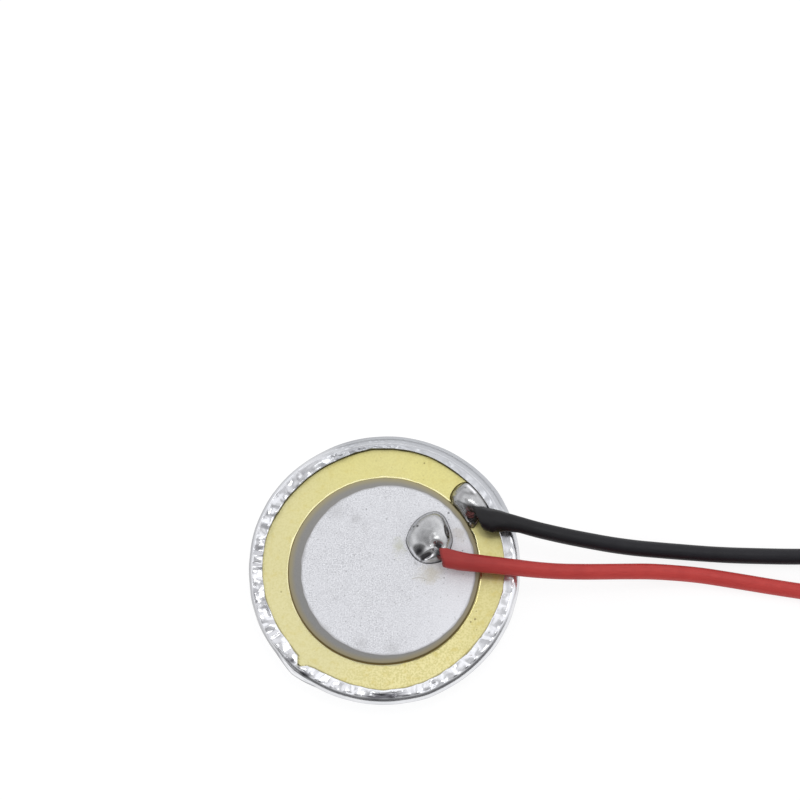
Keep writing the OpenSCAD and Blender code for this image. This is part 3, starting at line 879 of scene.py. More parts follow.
def tie_band():
    """Flat band round both coils: a rounded box-shaped loop of thin section, with one end
    lapped over the other on the outer side. Box shapes are circles whose cosine and sine
    are raised to a power below one."""
    inner, outer, height = 4.72, 8.14, 3.62
    middle = np.array([(outer + inner) / 2, height / 2])
    half = np.array([(outer - inner) / 2, height / 2]) - 0.09
    a, spin = circle(220)
    line = middle + half * np.sign(spin) * np.abs(spin) ** 0.35
    lean = unit(np.stack([np.gradient(line[:, 1]), -np.gradient(line[:, 0])], 1))
    _, section = circle(16)
    across = 0.95 * np.sign(section[:, 0]) * np.abs(section[:, 0]) ** 0.4
    thick = 0.07 * np.sign(section[:, 1]) * np.abs(section[:, 1]) ** 0.6
    t = a / TAU
    lap = 0.025 * smoothstep(t, 0.02, 0.03) * (1 - smoothstep(t, 0.14, 0.15))
    loop = line[:, None] + (thick[None] - lap[:, None])[..., None] * lean[:, None]
    x = COIL_AT[0] + across[None] + 0 * loop[..., 0]
    z = np.maximum(loop[..., 1], TIE_LOW)
    return ring_surface("tie_band", np.stack([x, COIL_AT[1] + loop[..., 0], z], -1))


band = dress(tie_band(), tie_plastic(), "tie", "lead_tie")


# ---- sound cap ----

# By direction in degrees: radius of the rim, and of the lip's inner edge
RIM_EDGE = [
    (-180, 10.68), (-120, 10.68),
    (-104, 10.66), (-92, 10.69), (-80, 10.72), (-70, 10.76), (-60, 10.70), (-20, 10.68),
    (5, 10.69), (20, 10.82), (36, 11.0), (90, 11.06), (140, 11.0), (155, 10.92), (168, 10.79),
    (174, 10.72), (180, 10.68)]
LIP_EDGE = [
    (-180, 9.56), (-165, 9.5), (-150, 9.42), (-140, 9.46), (-134, 9.52), (-130.5, 10.22),
    (-127.5, 9.66), (-124, 9.5), (-115, 9.42), (-100, 9.52), (-90, 9.65), (-80, 9.6),
    (-70, 9.55), (-60, 9.45), (-50, 9.4), (-40, 9.35), (-30, 9.38), (-20, 9.4), (-10, 9.47),
    (0, 9.48), (10, 9.5), (20, 9.55), (30, 9.6), (40, 9.65), (50, 9.66), (60, 9.72),
    (70, 9.83), (80, 9.86), (90, 9.86), (96, 9.9), (102, 9.84), (110, 9.75), (120, 9.7),
    (130, 9.65), (140, 9.66), (150, 9.62), (160, 9.72), (170, 9.62), (180, 9.56)]
# How far the wall's foot bulges out, and how much of its usual width the bend takes
BULGE = [(-180, 0), (-142, 0), (-136, 0.11), (-131, 0.26), (-126, 0.19), (-119, 0), (180, 0)]
TIGHT = [(-180, 0.75), (-165, 0.6), (-146, 0.55), (-138, 1), (150, 1), (170, 0.8), (180, 0.75)]
# How strongly the lip is crimped: its far right side stayed smooth
CRIMPED = [(-180, 1.0), (-60, 1.0), (-45, 0.75), (-12, 0.65), (0, 0.4),
           (15, 0.4), (26, 0.08), (78, 0.06), (84, 0.4), (96, 0.7), (112, 0.9), (117, 0.25),
           (126, 0.2), (131, 1.0), (180, 1.0)]
# Where the sheet is duller with painted shade, and where a painted shade line runs along the wall
DULL_AND_SHADED = [(-180, 0), (0, 0), (25, 1), (105, 1), (125, 0.3), (180, 0)]
WALL_LINE = [(-180, 0), (-157, 0), (-151, 0.6), (-141, 0.6), (-136, 0), (180, 0)]
# Dents pressed into the lip: direction, radius, half its width, half its length in degrees
# and depth. The shaded ones lie askew and have a darkness too: painted shade in their hollows.
DENTS = ((-84, 9.92, 0.07, 3.0, 0.08), (-90, 10.02, 0.06, 2.6, 0.08),
         (-104, 10.3, 0.16, 1.6, 0.12), (-70, 10.3, 0.16, 2.2, 0.12),
         (152, 10.1, 0.2, 1.6, 0.10), (-172, 10.15, 0.2, 1.5, 0.09),
         (-66, 10.0, 0.10, 1.0, 0.08))
SHADED_DENTS = ((-134.8, 10.24, 0.23, 2.3, 0.10, 0.75), (-125.8, 10.31, 0.21, 2.3, 0.10, 0.95),
               (-89.0, 10.14, 0.28, 9.0, 0.06, 1.25))
# Stretches of the lip with painted shade: direction, half length in degrees and darkness
SHADED_STRETCHES = ((136, 9, 0.22), (-166, 8, 0.28), (104, 9, 0.20))
# The lip's middle radius and width, where a place on it is counted in millimetres
LIP_MIDDLE_R, LIP_WIDTH = 10.1, 1.4
FLANGE_IN, LIP_TOP = 9.41, 2.675


def by_direction(table, degrees):
    """Value of a table of (direction, value) at each of an array of directions."""
    return np.interp(turn(degrees, 0), *zip(*table))


def sound_dish():
    """The cap's dish: sheet turned round the axis, from the burred hole out along the flat
    end and up the drawn wall to the step at the flange, and back inside. The drawn wall is
    glossier than the flats."""
    foot_r, step_r = 1.2, 0.3
    section = np.vstack([
        [[HOLE_R, 0.26], [HOLE_R, 0.16], [HOLE_R, 0.05], [HOLE_R + 0.015, 0.015],
         [HOLE_R + 0.06, 0.0]],
        np.stack([np.linspace(2.5, 6.8, 12), np.zeros(12)], 1),
        arc(7.023, foot_r, foot_r, -90, -40, 14), arc(9.15, 1.40, step_r, 140, 90, 8),
        [[9.30, 1.70], [9.38, 1.705], [9.40, 1.73], [9.40, 1.80], [9.42, 1.86], [9.8, 1.87],
         [9.85, 2.0], [9.8, 2.13], [9.3, 2.148], [9.25, 2.13], [9.25, 2.01], [9.22, 2.0]],
        arc(9.15, 1.40, step_r + SHEET_T, 90, 140, 8),
        arc(7.023, foot_r, foot_r - SHEET_T, -40, -90, 10),
        np.stack([np.linspace(6.6, 2.2, 8), np.full(8, SHEET_T)], 1), [[2.07, 0.295]]])
    _, spin = circle(480)
    r, z = section[:, 0], section[:, 1]
    gloss = ((r > 7.05) & (r < 9.36)) * 0.9 + 0.1
    burr = bell(r - HOLE_R, 0.1) * (z < 0.28)
    r = r[None] - 0.03 * burr * (1 + waves(spin * 3, 1.1, 26))[:, None]
    grid = np.stack([r * spin[:, :1], r * spin[:, 1:], z + 0 * r], -1)
    return ring_surface("cap_dish", grid, {"gloss": np.broadcast_to(gloss, r.shape),
                                           "dull_and_shaded": 0 * r, "painted_shade": 0 * r})


def crimp_section(rim, edge, sloped, lift, bulge, tight):
    """Section of flange, rim wall and lip for every direction, as radius and height grids
    [direction, place]: out along the flange's underside, up the wall, over the bend, in
    along the lip to its edge and back inside. Where sloped is 1 the wall leans far in. The
    bend turns more slowly about half-way over. Also gives for each place how much of the
    crimping it takes and how glossy it is."""
    rows = []

    def row(r, z, take, gloss):
        """Adds a place. The wall's foot moves out with the bulge, its top stays."""
        low = np.clip((2.46 - z) / 0.59, 0, 1)
        rows.append((r + bulge * low * (r > rim - 0.4) + 0 * rim, z + 0 * rim, take, gloss))

    # Flange's inner edge and underside, and the corner at the wall's foot
    row(FLANGE_IN, 1.95, 0, 0.1)
    row(FLANGE_IN + 0.002, 1.875, 0, 0.1)
    row(FLANGE_IN + 0.02, 1.852, 0, 0.1)
    for k in np.linspace(0.04, 1, 6):
        row(FLANGE_IN + (rim - 0.14 - FLANGE_IN) * k, FLANGE_LOW, 0, 0.1)
    for dr, z in arc(-0.14, FLANGE_LOW + 0.14, 0.14, -72, 0, 5):
        row(rim + dr, z, 0, 0.5)
    # Wall and bend: a steep wall with a tight bend, blended with one that leans in
    a = np.radians(np.linspace(20, 88, 19))
    size = 0.30 + 0.55 * bell(np.degrees(a) - 47, 10)
    step = (size[1:] + size[:-1]) / 2 * (a[1] - a[0])
    half = (a[1:] + a[:-1]) / 2
    bend = np.stack([-np.cumsum(step * np.sin(half)), np.cumsum(step * np.cos(half))], 1)
    wall = np.linspace([-0.012, 2.03], [-0.09, LIP_TOP - 0.007 - bend[-1, 1]], 6)
    steep = np.vstack([wall, wall[-1] + bend])
    t = np.linspace(0, 1, len(steep))
    lean = np.stack([-0.012 - 0.848 * t, 2.01 + 0.655 * t + 0.03 * np.sin(t * math.pi)], 1)
    for k in range(len(steep)):
        dr, z = (steep[k, i] * (1 - sloped) + lean[k, i] * sloped for i in (0, 1))
        row(rim + dr * (tight + (1 - tight) * sloped), z, float(smoothstep(k, 17, 23)), 0.95)
    # Lip, falling a little towards its edge, and the edge itself
    crest = rows[-1][0]
    for k in np.concatenate([np.linspace(0.03, 0.93, 24), [0.965, 0.99, 1.0]]):
        fall = 0.10 * k ** (1.5 - 0.5 * sloped) + 0.03 * float(smoothstep(k, 0.93, 1.0))
        row(crest + (edge - crest) * k, LIP_TOP - fall + lift * k, 1, 0.85)
    row(edge + 0.004, 2.535 + lift, 0.9, 0.6)
    row(edge + 0.012, 2.49 + lift * 0.95, 0.7, 0.3)
    row(edge + 0.05, 2.445 + lift * 0.9, 0.5, 0.2)
    # Underside of the lip, inside of the wall and top of the flange
    inner = rim - SHEET_T
    for k in (0.97, 0.85, 0.6, 0.3):
        row(inner - 0.1 + (edge + 0.1 - inner) * k, 2.40 + 0.02 * k + lift * 0.8 * k, 0.1, 0.2)
    for dr, z in ((0, 2.35), (0, 2.2), (-0.01, 2.155), (-0.1, 2.152)):
        row(inner + dr, z, 0, 0.2)
    row(FLANGE_IN + 0.02, 2.14, 0, 0.2)
    r, z = (np.array([item[i] for item in rows]).T for i in (0, 1))
    take, gloss = (np.array([item[i] for item in rows])[None, :] for i in (2, 3))
    return r, z, take, gloss


def pleats(a, across):
    """Radial pleats, one after the other all round the lip: each has its own random width,
    lean, height and place of its ridge, and rises and falls half straight, half in an S."""
    rng = np.random.default_rng(23)
    height = 0 * across
    at = -180.0
    while at < 179:
        wide, lean, high = rng.uniform(3.5, 8.0), rng.uniform(-2.6, 2.6), rng.uniform(0.25, 1.0)
        skew = rng.uniform(0.35, 0.65)
        t = turn(a + lean * (across - 0.6) - at, 180.0) + 180.0
        t = np.clip(t / min(wide, 180.0 - at), 0, 1)
        t = np.minimum(t / skew, (1 - t) / (1 - skew))
        height = height + high * (0.5 * t + 0.5 * smoothstep(t, 0, 1))
        at += wide
    return height


def crimping(a, r, on_lip, crimp):
    """Height that the crimping adds to the lip: broad crumpled facets and radial pleats,
    pressed dents, a raised stretch and a faint waviness. Also gives the painted shade in the
    hollows of the shaded dents."""
    along, across = on_lip[..., 0], on_lip[..., 1]
    broad = facets(along, across, 0.62, 21, TAU * LIP_MIDDLE_R, LIP_WIDTH, 1.8)
    height = crimp * (0.090 * broad + 0.075 * pleats(a, across))
    for at, radius, wide, long, deep in DENTS:
        height = height - deep * bell(turn(a, at), long) * bell(r - radius, wide)
    streaks = 0.85 + 0.35 * waves(on_lip * (0.5, 5), 1.0, 29)
    hollow_shade = 0 * r
    # Painted shade in the hollows of these dents.
    for at, radius, wide, long, deep, dark in SHADED_DENTS:
        off = (turn(a, at + 5.0 * (radius - r)) / long) ** 2 + ((r - radius) / wide) ** 2
        height = height - deep * np.exp(-off)
        hollow_shade = hollow_shade + dark * np.exp(-off ** 2) * (streaks if long > 5 else 1)
    height = height + 0.10 * bell(turn(a, 122), 4.5) * smoothstep(r, 9.7, 10.2)
    return height + 0.010 * waves(on_lip * (1, 2), 1.3, 24), hollow_shade


def lip_dull_and_shaded(a, r, z, rim, edge):
    """Where the smooth side's wall and lip are duller and painted darker as painted shade,
    except on two rolled lines and along the lip's edge, which stay bright as painted highlights."""
    # Two rolled lines and the lip's edge: painted highlights.
    lines = 0.8 * sum(bell(r - rim + inwards, 0.03) for inwards in (0.385, 0.725))
    lines = lines + bell(r - edge, 0.04)
    return (z > 1.98) * by_direction(DULL_AND_SHADED, a) * np.clip(1 - lines, 0, 1)


def rim_painted_shade(a, r, z, rim, sloped):
    """Painted shade and reflections on the rim's outside: a dark colour strong on the left, a
    hair line round the outer edge, a dark outline on the bulge and a dark line along the wall
    beside it."""
    bulge = by_direction(BULGE, a)
    outside = smoothstep(r, rim - 0.36, rim - 0.02) * (z > 1.88)
    outside = outside * (1 - np.clip(bulge * 12, 0, 1))
    painted_shade = outside * (0.07 + 0.75 * bell(turn(a, 168), 55))
    painted_shade = painted_shade + 0.4 * bell(r - rim, 0.012) * (1 - 0.6 * sloped)
    brim = smoothstep(r - rim - bulge, -0.085, -0.05) * (z > 1.9)
    painted_shade = painted_shade + 0.75 * np.clip(bulge * 9, 0, 1) * brim
    return painted_shade + bell(z - 2.28, 0.13) * (r > rim - 0.4) * by_direction(WALL_LINE, a)


def lip_painted_shade(a, on_lip, crimp):
    """Painted shade and reflections: a dark colour in some of the lip's finer facets, more on the
    left, and in a few stretches.
    """
    fine = facets(on_lip[..., 0], on_lip[..., 1], 0.45, 77, TAU * LIP_MIDDLE_R, LIP_WIDTH, 2.2)
    facet_shade = crimp * smoothstep(fine, -0.02, 0.10) * (0.12 + 0.33 * bell(turn(a, 168), 55))
    return facet_shade + sum(dark * bell(turn(a, at), wide) for at, wide, dark in SHADED_STRETCHES)


def crimped_rim():
    """Flange, wall and crimped lip as one closed skin: the fold's own curve at each direction
    with the crimping added to its height, and fine lumps on the crimped part that leans in."""
    steps = 1240
    a = np.arange(steps) * 360.0 / steps
    spin = np.stack([np.cos(np.radians(a)), np.sin(np.radians(a))], 1)
    rim = by_direction(RIM_EDGE, a) - 0.012 * (1 + waves(spin * 10, 3.0, 27))
    crimp = by_direction(CRIMPED, a)
    edge = by_direction(LIP_EDGE, a) + 0.03 * waves(spin * 10, 2.2, 5) * crimp
    sloped = smoothstep(a, 16, 34) * (1 - smoothstep(a, 106, 126))
    lift = 0.13 * smoothstep(a, 14, 40) * (1 - smoothstep(a, 158, 176))
    r, z, take, gloss = crimp_section(rim, edge, sloped, lift, by_direction(BULGE, a),
                                      by_direction(TIGHT, a))
    a, rim, edge, crimp, sloped = (v[:, None] for v in (a, rim, edge, crimp, sloped))
    on_lip = np.stack([np.radians(a) * LIP_MIDDLE_R + 0 * r,
                       np.clip(rim - 0.1 - r, 0, LIP_WIDTH)], -1)
    height, hollow_shade = crimping(a, r, on_lip, crimp)
    lumps = waves(on_lip * (1, 1.2), 0.5, 41, 30) * crimp * sloped
    inward = smoothstep(rim - r, 0.15, 0.45) * (z > 2.2) * (r > edge - 0.01)
    z = z + np.clip(height, -0.30, 0.16) * take + 0.045 * lumps * inward
    grid = np.stack([r * spin[:, :1], r * spin[:, 1:], z], -1)
    # Painted shade and reflections on the rim and lip, and painted shade in the dents' hollows.
    painted_shade = rim_painted_shade(a, r, z, rim, sloped) + lip_painted_shade(a, on_lip, crimp) * take
    return ring_surface("cap_rim", grid, {
        "gloss": np.broadcast_to(gloss, r.shape), "dull_and_shaded": lip_dull_and_shaded(a, r, z, rim, edge),
        "painted_shade": np.clip(painted_shade + hollow_shade * (z > 2.35), 0, 1)})


aluminium = aluminium_sheet()
dress(sound_dish(), aluminium, "cap_aluminium", "sound_cap")
dress(crimped_rim(), aluminium, "cap_aluminium", "sound_cap")


# ---- brass, adhesive, ceramic and electrodes ----

def plate(name, radius, low, high, edge, wobble, seed, centre=0.0, sag=0.0, rings=None,
          top_grime_and_shade=None):
    """Round plate as one skin: rings from the middle of its underside out round its edge,
    which is half an oval, and back to the middle of its top. Its outline wobbles and its top
    sags a little. A function of radius and direction, if given, lays grime and painted shade on
    its top."""
    bend = (radius - edge, (low + high) / 2) + arc(0, 0, 1, -90, 90, 9) * (edge, (high - low) / 2)
    rings = np.linspace(0.15, radius - edge, 26)[:-1] if rings is None else rings
    profile = np.vstack([np.stack([rings, np.full(len(rings), low)], 1), bend,
                         np.stack([rings[::-1], np.full(len(rings), high)], 1)])
    a, spin = circle(360)
    out = wobble / radius * waves(spin * 6, 1.3, seed)
    r = profile[:, :1] * (1 + out[None] * (profile[:, :1] / radius) ** 4)
    x, y = r * spin[:, 0] + centre, r * spin[:, 1]
    z = profile[:, 1:] + 0 * x
    z = z + sag * waves(np.stack([x, y], -1), 6.0, seed + 1) * (profile[:, 1:] > low)
    values = None if top_grime_and_shade is None else {"grime_and_shade": top_grime_and_shade(r, np.degrees(a)) * (z > high - 0.05)}
    return capped_surface(name, np.stack([x, y, z], -1), values)


def lip_grime_and_shade(r, degrees):
    """Grime and painted shade on the brass in a line just inside the lip's edge: ragged and dark
    on the far side, where the lip stands clear of the brass, broadest on the near side."""
    far = smoothstep(degrees, 16, 40) * (1 - smoothstep(degrees, 150, 168))
    spin = np.stack([np.cos(np.radians(degrees)), np.sin(np.radians(degrees))], 1)
    near = smoothstep(-spin[:, 1], 0.0, 0.7)
    gap = by_direction(LIP_EDGE, degrees) + 0.02 - r
    wide = 0.02 * far + 0.035 + 0.105 * near + 0.03 * far * waves(spin * 9, 1.5, 35)
    dark = (0.45 + 0.35 * far + 0.08 * near) * (1 - smoothstep(gap, wide * 0.5, wide * 1.3))
    return np.clip(dark, 0, 1)


# The brass has closer rings where its grime and painted shade are
BRASS_RINGS = np.concatenate([np.linspace(0.15, 9.1, 22), np.linspace(9.15, 9.96, 28)])
dress(plate("brass_plate", BRASS_R, BRASS_LOW, BRASS_TOP, 0.03, 0.0, 31, sag=0.004,
            rings=BRASS_RINGS, top_grime_and_shade=lip_grime_and_shade),
      brass_sheet(), "disc_brass", "brass_disc")
dress(plate("ceramic_plate", CERAMIC_R, CERAMIC_LOW, CERAMIC_TOP, 0.04, 0.012, 32),
      fired_ceramic(), "piezo_ceramic", "ceramic_disc")
silver_paint = printed_silver()
dress(plate("silver_print", SILVER_R, CERAMIC_TOP - 0.002, SILVER_TOP, 0.03, 0.03, 33,
            centre=SILVER_SHIFT, sag=0.0015),
      silver_paint, "electrode_silver", "upper_electrode")
dress(frame["nodes"]["lower_electrode"], silver_paint, "electrode_silver")


def adhesive():
    """Film under the ceramic with the bead squeezed out round it: the section is a thin
    level film that climbs the ceramic's edge in a hollow fillet, turned round the axis. The
    bead's width varies along the edge."""
    _, spin = circle(360)
    start = CERAMIC_R - 0.02
    wide = 0.20 + 0.035 * waves(spin * 6, 1.6, 41) + 0.02 * waves(spin * 20, 1.6, 42)
    t = np.linspace(1, 0, 14)[:, None]
    under = np.linspace(0.2, 1, 8)[:, None] * (start + wide)
    fillet = start + wide * t
    film = np.linspace(start, 0.5, 10)[1:, None] + 0 * wide
    r = np.vstack([under, fillet, film])
    z = np.vstack([0 * under + BRASS_TOP, 0 * fillet + BRASS_TOP + 0.003 + 0.13 * (1 - t) ** 2.4,
                   0 * film + CERAMIC_LOW - 0.005])
    return capped_surface("adhesive_bead", np.stack([r * spin[:, 0], r * spin[:, 1], z], -1))


dress(adhesive(), epoxy_bead(), "adhesive", "adhesive_film")


# ---- solder joints ----

def drop(s, foot, square, power):
    """Height of a drop of solder as a share of its full height: flat in the middle, steep
    at its foot, nothing outside it."""
    return (1 - np.minimum(s / foot, 1) ** square) ** power


def skirt(s, foot, height):
    """Low rounded bead between a drop's foot and its outline."""
    return height * np.sqrt(np.clip(1 - ((s - (1 + foot) / 2) / ((1 - foot) / 2)) ** 2, 0, 1))


def blob(name, outline, middle, base, shape):
    """Solder standing on a flat base: rings that shrink from the outline to its middle.
    shape gives the height and the shares of darkening (burnt flux, painted shade and painted
    reflections), frosting, amber and painted highlight at each place and s of the way out."""
    s = np.cos(np.linspace(0, math.pi / 2, 110))[:-1]
    xy = np.asarray(middle) + s[:, None, None] * (outline - middle)[None]
    share = np.broadcast_to(s[:, None], xy.shape[:2])
    height, *looks = shape(xy, share)
    z = base + np.maximum(height, 0.012)
    z[0] = base
    grid = np.concatenate([xy, z[..., None]], -1)
    foot = np.concatenate([np.asarray(middle) + 0.5 * (outline - middle)[None],
                           np.full((1, len(outline), 1), base)], -1)
    blank = np.zeros((1, len(outline)))
    values = {key: np.clip(np.concatenate([blank, look]), 0, 1)
              for key, look in zip(("dark_share", "frosted", "amber", "bare"), looks)}
    return capped_surface(name, np.concatenate([foot, grid]), values)


def oval(xy, x, y, wide, long, lean, depth, sharp=1.0):
    """Oval bell of a given depth at a point, leaning by an angle in degrees. A larger sharp
    gives it a flatter middle and steeper sides."""
    c, q = math.cos(math.radians(lean)), math.sin(math.radians(lean))
    dx, dy = xy[..., 0] - x, xy[..., 1] - y
    far = ((c * dx + q * dy) / wide) ** 2 + ((c * dy - q * dx) / long) ** 2
    return depth * np.exp(-far ** sharp)


def ovals(xy, table, sharp=1.0):
    """Sum of the oval bells in a table of (x, y, wide, long, lean, depth)."""
    return sum(oval(xy, *spot, sharp) for spot in table)


def from_line(xy, start, end):
    """Distance from the straight line between two points."""
    a, b = np.asarray(start), np.asarray(end)
    t = np.clip(((xy - a) @ (b - a)) / ((b - a) @ (b - a)), 0, 1)
    return np.linalg.norm(xy - a - t[..., None] * (b - a), axis=-1)


# The red joint's middle. Its outline, lumps and marks are counted from there.
RED_AT = np.array([3.585, 2.653])
RED_OUTLINE = [
    (-1.87, -0.47), (-1.80, 0.15), (-1.45, 0.95), (-0.85, 1.62), (-0.1, 2.02),
    (0.55, 2.10), (1.10, 1.72), (1.45, 1.05), (1.72, 0.25), (1.80, -0.35),
    (1.66, -0.95), (1.48, -1.55), (0.95, -1.98), (0.0, -2.17), (-0.75, -2.02), (-1.40, -1.45)]
# Crown, bright nib, pit by the nib, pit at the lower left, ridge beside it, groove at the right
RED_LUMPS = (
    (0.10, -0.18, 0.62, 0.55, 0, 0.055), (0.62, -0.70, 0.05, 0.05, 0, 0.08),
    (0.72, -0.90, 0.32, 0.22, -15, -0.40), (-0.74, -1.36, 0.44, 0.38, 35, -0.36),
    (0.05, -1.30, 0.50, 0.15, 30, 0.12), (1.40, 0.32, 0.12, 0.36, 8, -0.12))
# Darkening: painted shade in the pits, the groove and under the conductor, three dark pores, and a
# painted reflection below the crown
RED_DARK_SPOTS = (
    (0.72, -0.94, 0.34, 0.18, -15, 1.0), (-0.78, -1.36, 0.44, 0.38, 35, 1.0),
    (-0.20, -1.70, 0.54, 0.23, 24, 1.4), (1.36, 0.42, 0.10, 0.30, 8, 0.9),
    (0.80, -1.60, 0.30, 0.40, 0, 1.0),
    (-1.25, 0.67, 0.09, 0.09, 0, 0.9), (-0.93, 0.65, 0.10, 0.09, 0, 0.8),
    (-1.50, 0.45, 0.08, 0.08, 0, 0.8), (-1.10, -1.62, 0.30, 0.10, -42, 0.6),
    (-0.20, -0.55, 0.34, 0.34, 0, 0.32), (0.05, -0.75, 0.36, 0.16, 30, 0.22))
# Ends of the lines along which the solder is painted white: painted highlights
RED_HIGHLIGHT_LINES = (
    ((-1.50, -0.98), (-1.12, -1.54)), ((-1.12, -1.54), (-0.78, -1.86)),
    ((0.36, -1.42), (0.26, -1.70)), ((0.26, -1.70), (-0.28, -1.93)))


def red_joint():
    """Domed joint of the red lead: an egg outline, a thin foot bead, a smooth crown, and
    pits and ridges where the conductor goes in."""
    def shape(xy, s):
        p = xy - RED_AT
        upper = smoothstep(unit(p + 1e-9) @ np.array([-0.35, 0.94]), 0.2, 0.9)
        foot = 0.972 - 0.035 * upper
        dome = drop(s, foot, 4.6, 0.50)
        h = np.maximum(1.22 * dome, skirt(s, foot - 0.012, 0.035))
        h = h - 0.05 * ((p - (0.05, -0.25)) ** 2).sum(-1) * dome
        h = h + ovals(p, RED_LUMPS) - oval(p, -0.20, -1.72, 0.52, 0.20, 24, 0.34, 1.2)
        ridge = 1.36 * bell(from_line(p, (0.50, -1.15), (1.15, -1.75)), 0.36)
        h = np.maximum(h, ridge * (1 - s ** 20))
        inner = smoothstep(1 - s, 0.05, 0.3)
        h = h + (0.012 * waves(p, 1.3, 51) + 0.002 * waves(p, 0.4, 52)) * inner
        # Painted shade in the pits, grooves and under the conductor, and a painted reflection
        # below the crown.
        dark_share = ovals(p, RED_DARK_SPOTS, 1.7) * (1 - oval(p, 0.62, -0.70, 0.07, 0.07, 0, 0.8))
        # Painted shade over the upper left of the dome.
        dark_share = dark_share + oval(p, -0.45, 0.55, 1.15, 1.25, 20, 0.24, 2.0)
        # Painted shade: a dark outline at the foot.
        dark_share = dark_share + 0.9 * bell(s - 0.992, 0.018) * (1 - 0.7 * upper)
        # Painted shade over the skirt.
        dark_share = dark_share + 0.35 * smoothstep(s, foot - 0.01, foot)
        frosted = 0.7 + 0.3 * waves(p, 1.2, 53) + 2.2 * smoothstep(s, foot - 0.02, foot)
        # Painted highlights along lines and at the bottom edge.
        bare = np.clip(sum(bell(from_line(p, *ends), 0.07) for ends in RED_HIGHLIGHT_LINES), 0, 1)
        bare = bare + oval(p, -0.28, -2.03, 0.34, 0.07, 0, 0.7)
        return h, dark_share * (1 - 0.8 * np.clip(bare, 0, 1)), frosted, 0 * h, bare

    outline = RED_AT + closed_outline(RED_OUTLINE, 300)
    return blob("red_joint", outline, RED_AT, SILVER_TOP, shape)


# The black joint's middle, and its outline, which the lip cuts off
BLACK_AT = np.array([6.80, 5.15])
BLACK_OUTLINE = [
    (5.10, 5.86), (5.22, 6.35), (5.56, 6.84), (6.04, 7.16), (6.50, 7.17), (7.02, 6.66),
    (7.54, 6.06), (7.98, 5.44), (8.12, 4.95), (7.85, 4.45), (7.50, 4.12), (7.25, 3.75),
    (7.02, 3.46), (6.76, 3.50), (6.50, 3.84), (6.12, 4.40), (5.74, 4.92), (5.36, 5.36)]
# Socket of the conductor, its rim, a hollow and a swelling on the crown, and the bead below
BLACK_LUMPS = (
    (6.72, 4.34, 0.26, 0.34, 10, -0.40), (6.42, 4.55, 0.12, 0.30, 30, 0.10),
    (6.90, 6.11, 0.34, 0.15, -40, -0.06), (6.30, 5.62, 0.30, 0.12, -20, 0.03),
    (6.80, 3.68, 0.19, 0.19, 0, 0.42))
# Darkening: a painted reflection above the socket, and painted shade in the socket, under the lead
# and in clouds on the crown
BLACK_DARK_SPOTS = (
    (6.50, 5.02, 0.46, 0.20, -4, 0.40), (6.85, 4.95, 0.30, 0.2, -8, 0.55),
    (6.72, 4.34, 0.24, 0.30, 10, 0.75), (7.02, 4.05, 0.10, 0.30, 20, 1.0),
    (7.35, 4.55, 0.35, 0.25, 0, 1.0), (6.90, 6.08, 0.30, 0.09, -40, 0.45),
    (6.35, 6.55, 0.10, 0.07, 0, 0.5), (6.60, 6.03, 0.44, 0.15, -17, 0.38),
    (5.95, 5.75, 0.24, 0.42, -20, 0.26), (6.05, 6.45, 0.30, 0.20, 30, 0.18))


def black_joint():
    """Joint of the black lead: a bar-shaped crown along the brass ring, right up to the lip
    and painted dark along it as painted shade, a skirt of amber flux on its upper left, a socket
    round the conductor and a bead below."""
    outline = closed_outline(BLACK_OUTLINE, 320)

    def shape(xy, _):
        far = np.stack([np.linalg.norm(row[:, None] - outline[None], axis=-1).min(1)
                        for row in xy])
        lipward = smoothstep((xy - (6.8, 5.9)) @ np.array([0.77, 0.64]), -0.1, 0.5)
        upper = smoothstep((xy - (6.2, 6.0)) @ np.array([-0.75, 0.66]), 0.15, 0.55)
        along = (xy - (6.62, 5.48)) @ np.array([0.85, -0.53])
        across = (xy - (6.62, 5.48)) @ np.array([0.53, 0.85])
        shoulder = np.clip((far - 0.09 * upper) / (0.85 - 0.50 * lipward), 0, 1)
        off = along ** 2 + 1.5 * across ** 2
        crown = 1.0 - 0.26 * off / (1 + 0.7 * np.sqrt(off))
        h = crown * np.sqrt(1 - (1 - shoulder) ** 2.2)
        fall = smoothstep(5.22 - xy[..., 1] - 0.35 * (xy[..., 0] - 6.6), 0.0, 0.85)
        h = h * (1 - 0.38 * fall * (1 - smoothstep(xy[..., 0], 6.70, 7.70)))
        h = h + ovals(xy, BLACK_LUMPS)
        inner = smoothstep(far, 0.1, 0.4)
        h = h + (0.010 * waves(xy, 1.0, 61) + 0.001 * waves(xy, 0.35, 62)) * inner
        bearing = np.degrees(np.arctan2(xy[..., 1], xy[..., 0]))
        room = by_direction(LIP_EDGE, bearing) - np.linalg.norm(xy, axis=-1)
        # A little darker all over, with painted shade and reflections in spots and painted shade
        # along the lip.
        dark_share = 0.15 + ovals(xy, BLACK_DARK_SPOTS) + 0.85 * (1 - smoothstep(room, 0.09, 0.16))
        rim = 0.045 + 0.125 * upper + 0.035 * waves(xy, 0.8, 64)
        amber = (0.6 + 0.4 * upper) * (1 - smoothstep(far, rim * 0.9, rim * 1.7))
        # Painted highlight along the side next to the lip.
        bare = bell(from_line(xy, (6.56, 6.74), (7.12, 6.16)), 0.10)
        return h, dark_share, 0.75 + 0.35 * waves(xy, 1.0, 63), amber, bare

    return blob("black_joint", outline, BLACK_AT, BRASS_TOP, shape)


solder = bright_solder()
dress(red_joint(), solder, "solder", "red_solder_joint")
dress(black_joint(), solder, "solder", "black_solder_joint")


# ---- floor, lamps and world ----

def ray_kind(n):
    """1 for a ray from the camera or off a glossy or clear surface, 0 for diffuse light."""
    path = n.add("ShaderNodeLightPath").socket.node
    camera, glossy, clear = (Value(n, path.outputs[k]) for k in (
        "Is Camera Ray", "Is Glossy Ray", "Is Transmission Ray"))
    return camera.larger(glossy).larger(clear)


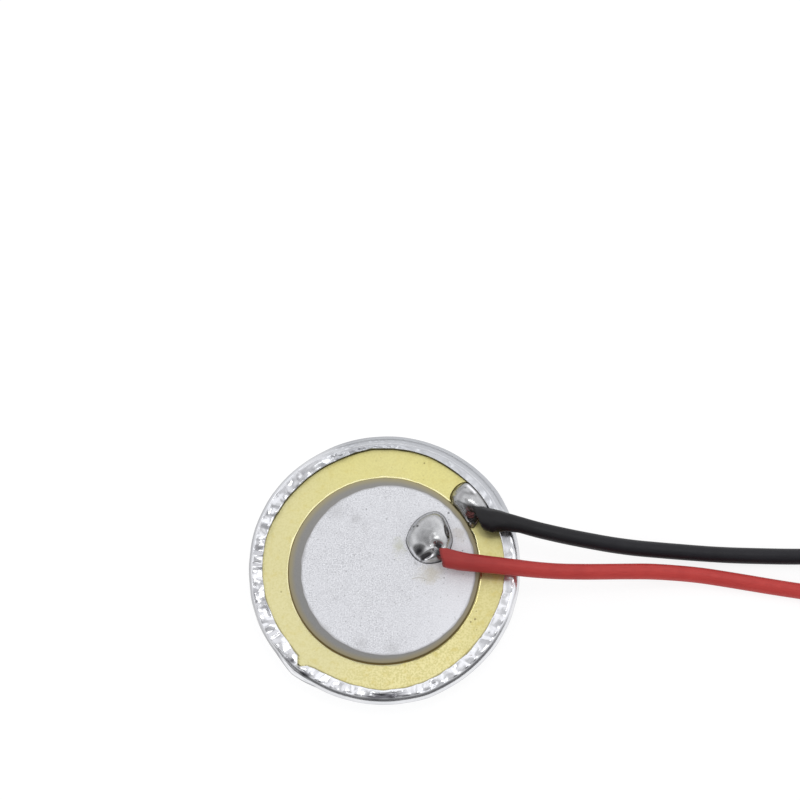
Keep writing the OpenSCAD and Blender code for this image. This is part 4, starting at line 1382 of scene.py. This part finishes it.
def pale_floor():
    """Plain white floor: light falls on it in full, and seen straight or in a reflection
    its soft shadows are only faint."""
    n = Nodes("pale_floor")
    seen = ray_kind(n)
    return n.finish(Base_Color=n.mix(seen, (0.86, 0.86, 0.86), (0.22, 0.22, 0.22)),
                    Roughness=0.9, Specular_IOR_Level=0.0, Emission_Strength=1.0,
                    Emission_Color=n.mix(seen, (0, 0, 0), (0.83, 0.83, 0.83)))


def lay_floor():
    """Level square floor a hundredth of a millimetre under the part."""
    far, low = 3000.0, -0.01
    floor = make_piece("floor", [(-far, -far, low), (-far, far, low), (far, -far, low),
                                 (far, far, low)], np.array([[0, 2, 3, 1]]))
    floor.data.materials.append(pale_floor())


def hang_lamp(name, way, distance, size, bright):
    """Square soft lamp at a distance in a direction, facing the part; sizes are in metres,
    and a brightness of 1 is white."""
    data = bpy.data.lights.new(name, "AREA")
    data.shape, data.size, data.energy = "SQUARE", size, bright * math.pi * size ** 2
    light = bpy.data.objects.new(name, data)
    bpy.context.scene.collection.objects.link(light)
    place = Vector(np.array(way) / np.linalg.norm(way) * distance)
    light.matrix_world = (Matrix.Translation(place)
                          @ place.normalized().to_track_quat("Z", "Y").to_matrix().to_4x4())


def light_tent():
    """A tent of light: plain overhead, brighter half-way down at the sides and the back,
    dark low down in front, with a darker round patch where the camera looks in. Matte
    things see a more even tent than mirror images do, and the camera sees plain white."""
    world = bpy.data.worlds.new("world")
    bpy.context.scene.world = world
    world.use_nodes = True
    n = Nodes("world", world.node_tree)
    way = n.add("ShaderNodeTexCoord", out=0)
    x, y, z = n.split(way)
    front = (x * 0.1 - y).step(0.05, 0.55)
    behind = 0.86 + z.step(0.15, 0.45) * 0.36 - z.step(0.79, 0.955) * 0.62
    before = 0.15 + z.step(0.42, 0.82) * 0.47
    patch = n.away(way, *CAMERA_WAY).step(0.20, 0.10)
    level = behind * (1 - front) + before * front - patch * 0.25
    path = n.add("ShaderNodeLightPath").socket.node
    seen, matte = Value(n, path.outputs["Is Camera Ray"]), Value(n, path.outputs["Is Diffuse Ray"])
    level = level * (1 - matte * 0.7) + matte * 0.645
    glow = n.add("ShaderNodeBackground", None, {0: n.joined(level, level, level * 1.02), 1: 1.0})
    white = n.add("ShaderNodeBackground", None, {0: (1, 1, 1), 1: 1.0})
    both = n.add("ShaderNodeMixShader", None, {0: seen, 1: glow, 2: white})
    n.add("ShaderNodeOutputWorld", None, {0: both})


lay_floor()
hang_lamp("top_lamp", (0.20, 0.17, 0.965), 0.75, 0.19, 4.0)
light_tent()
bpy.context.scene.view_settings.view_transform = "Standard"
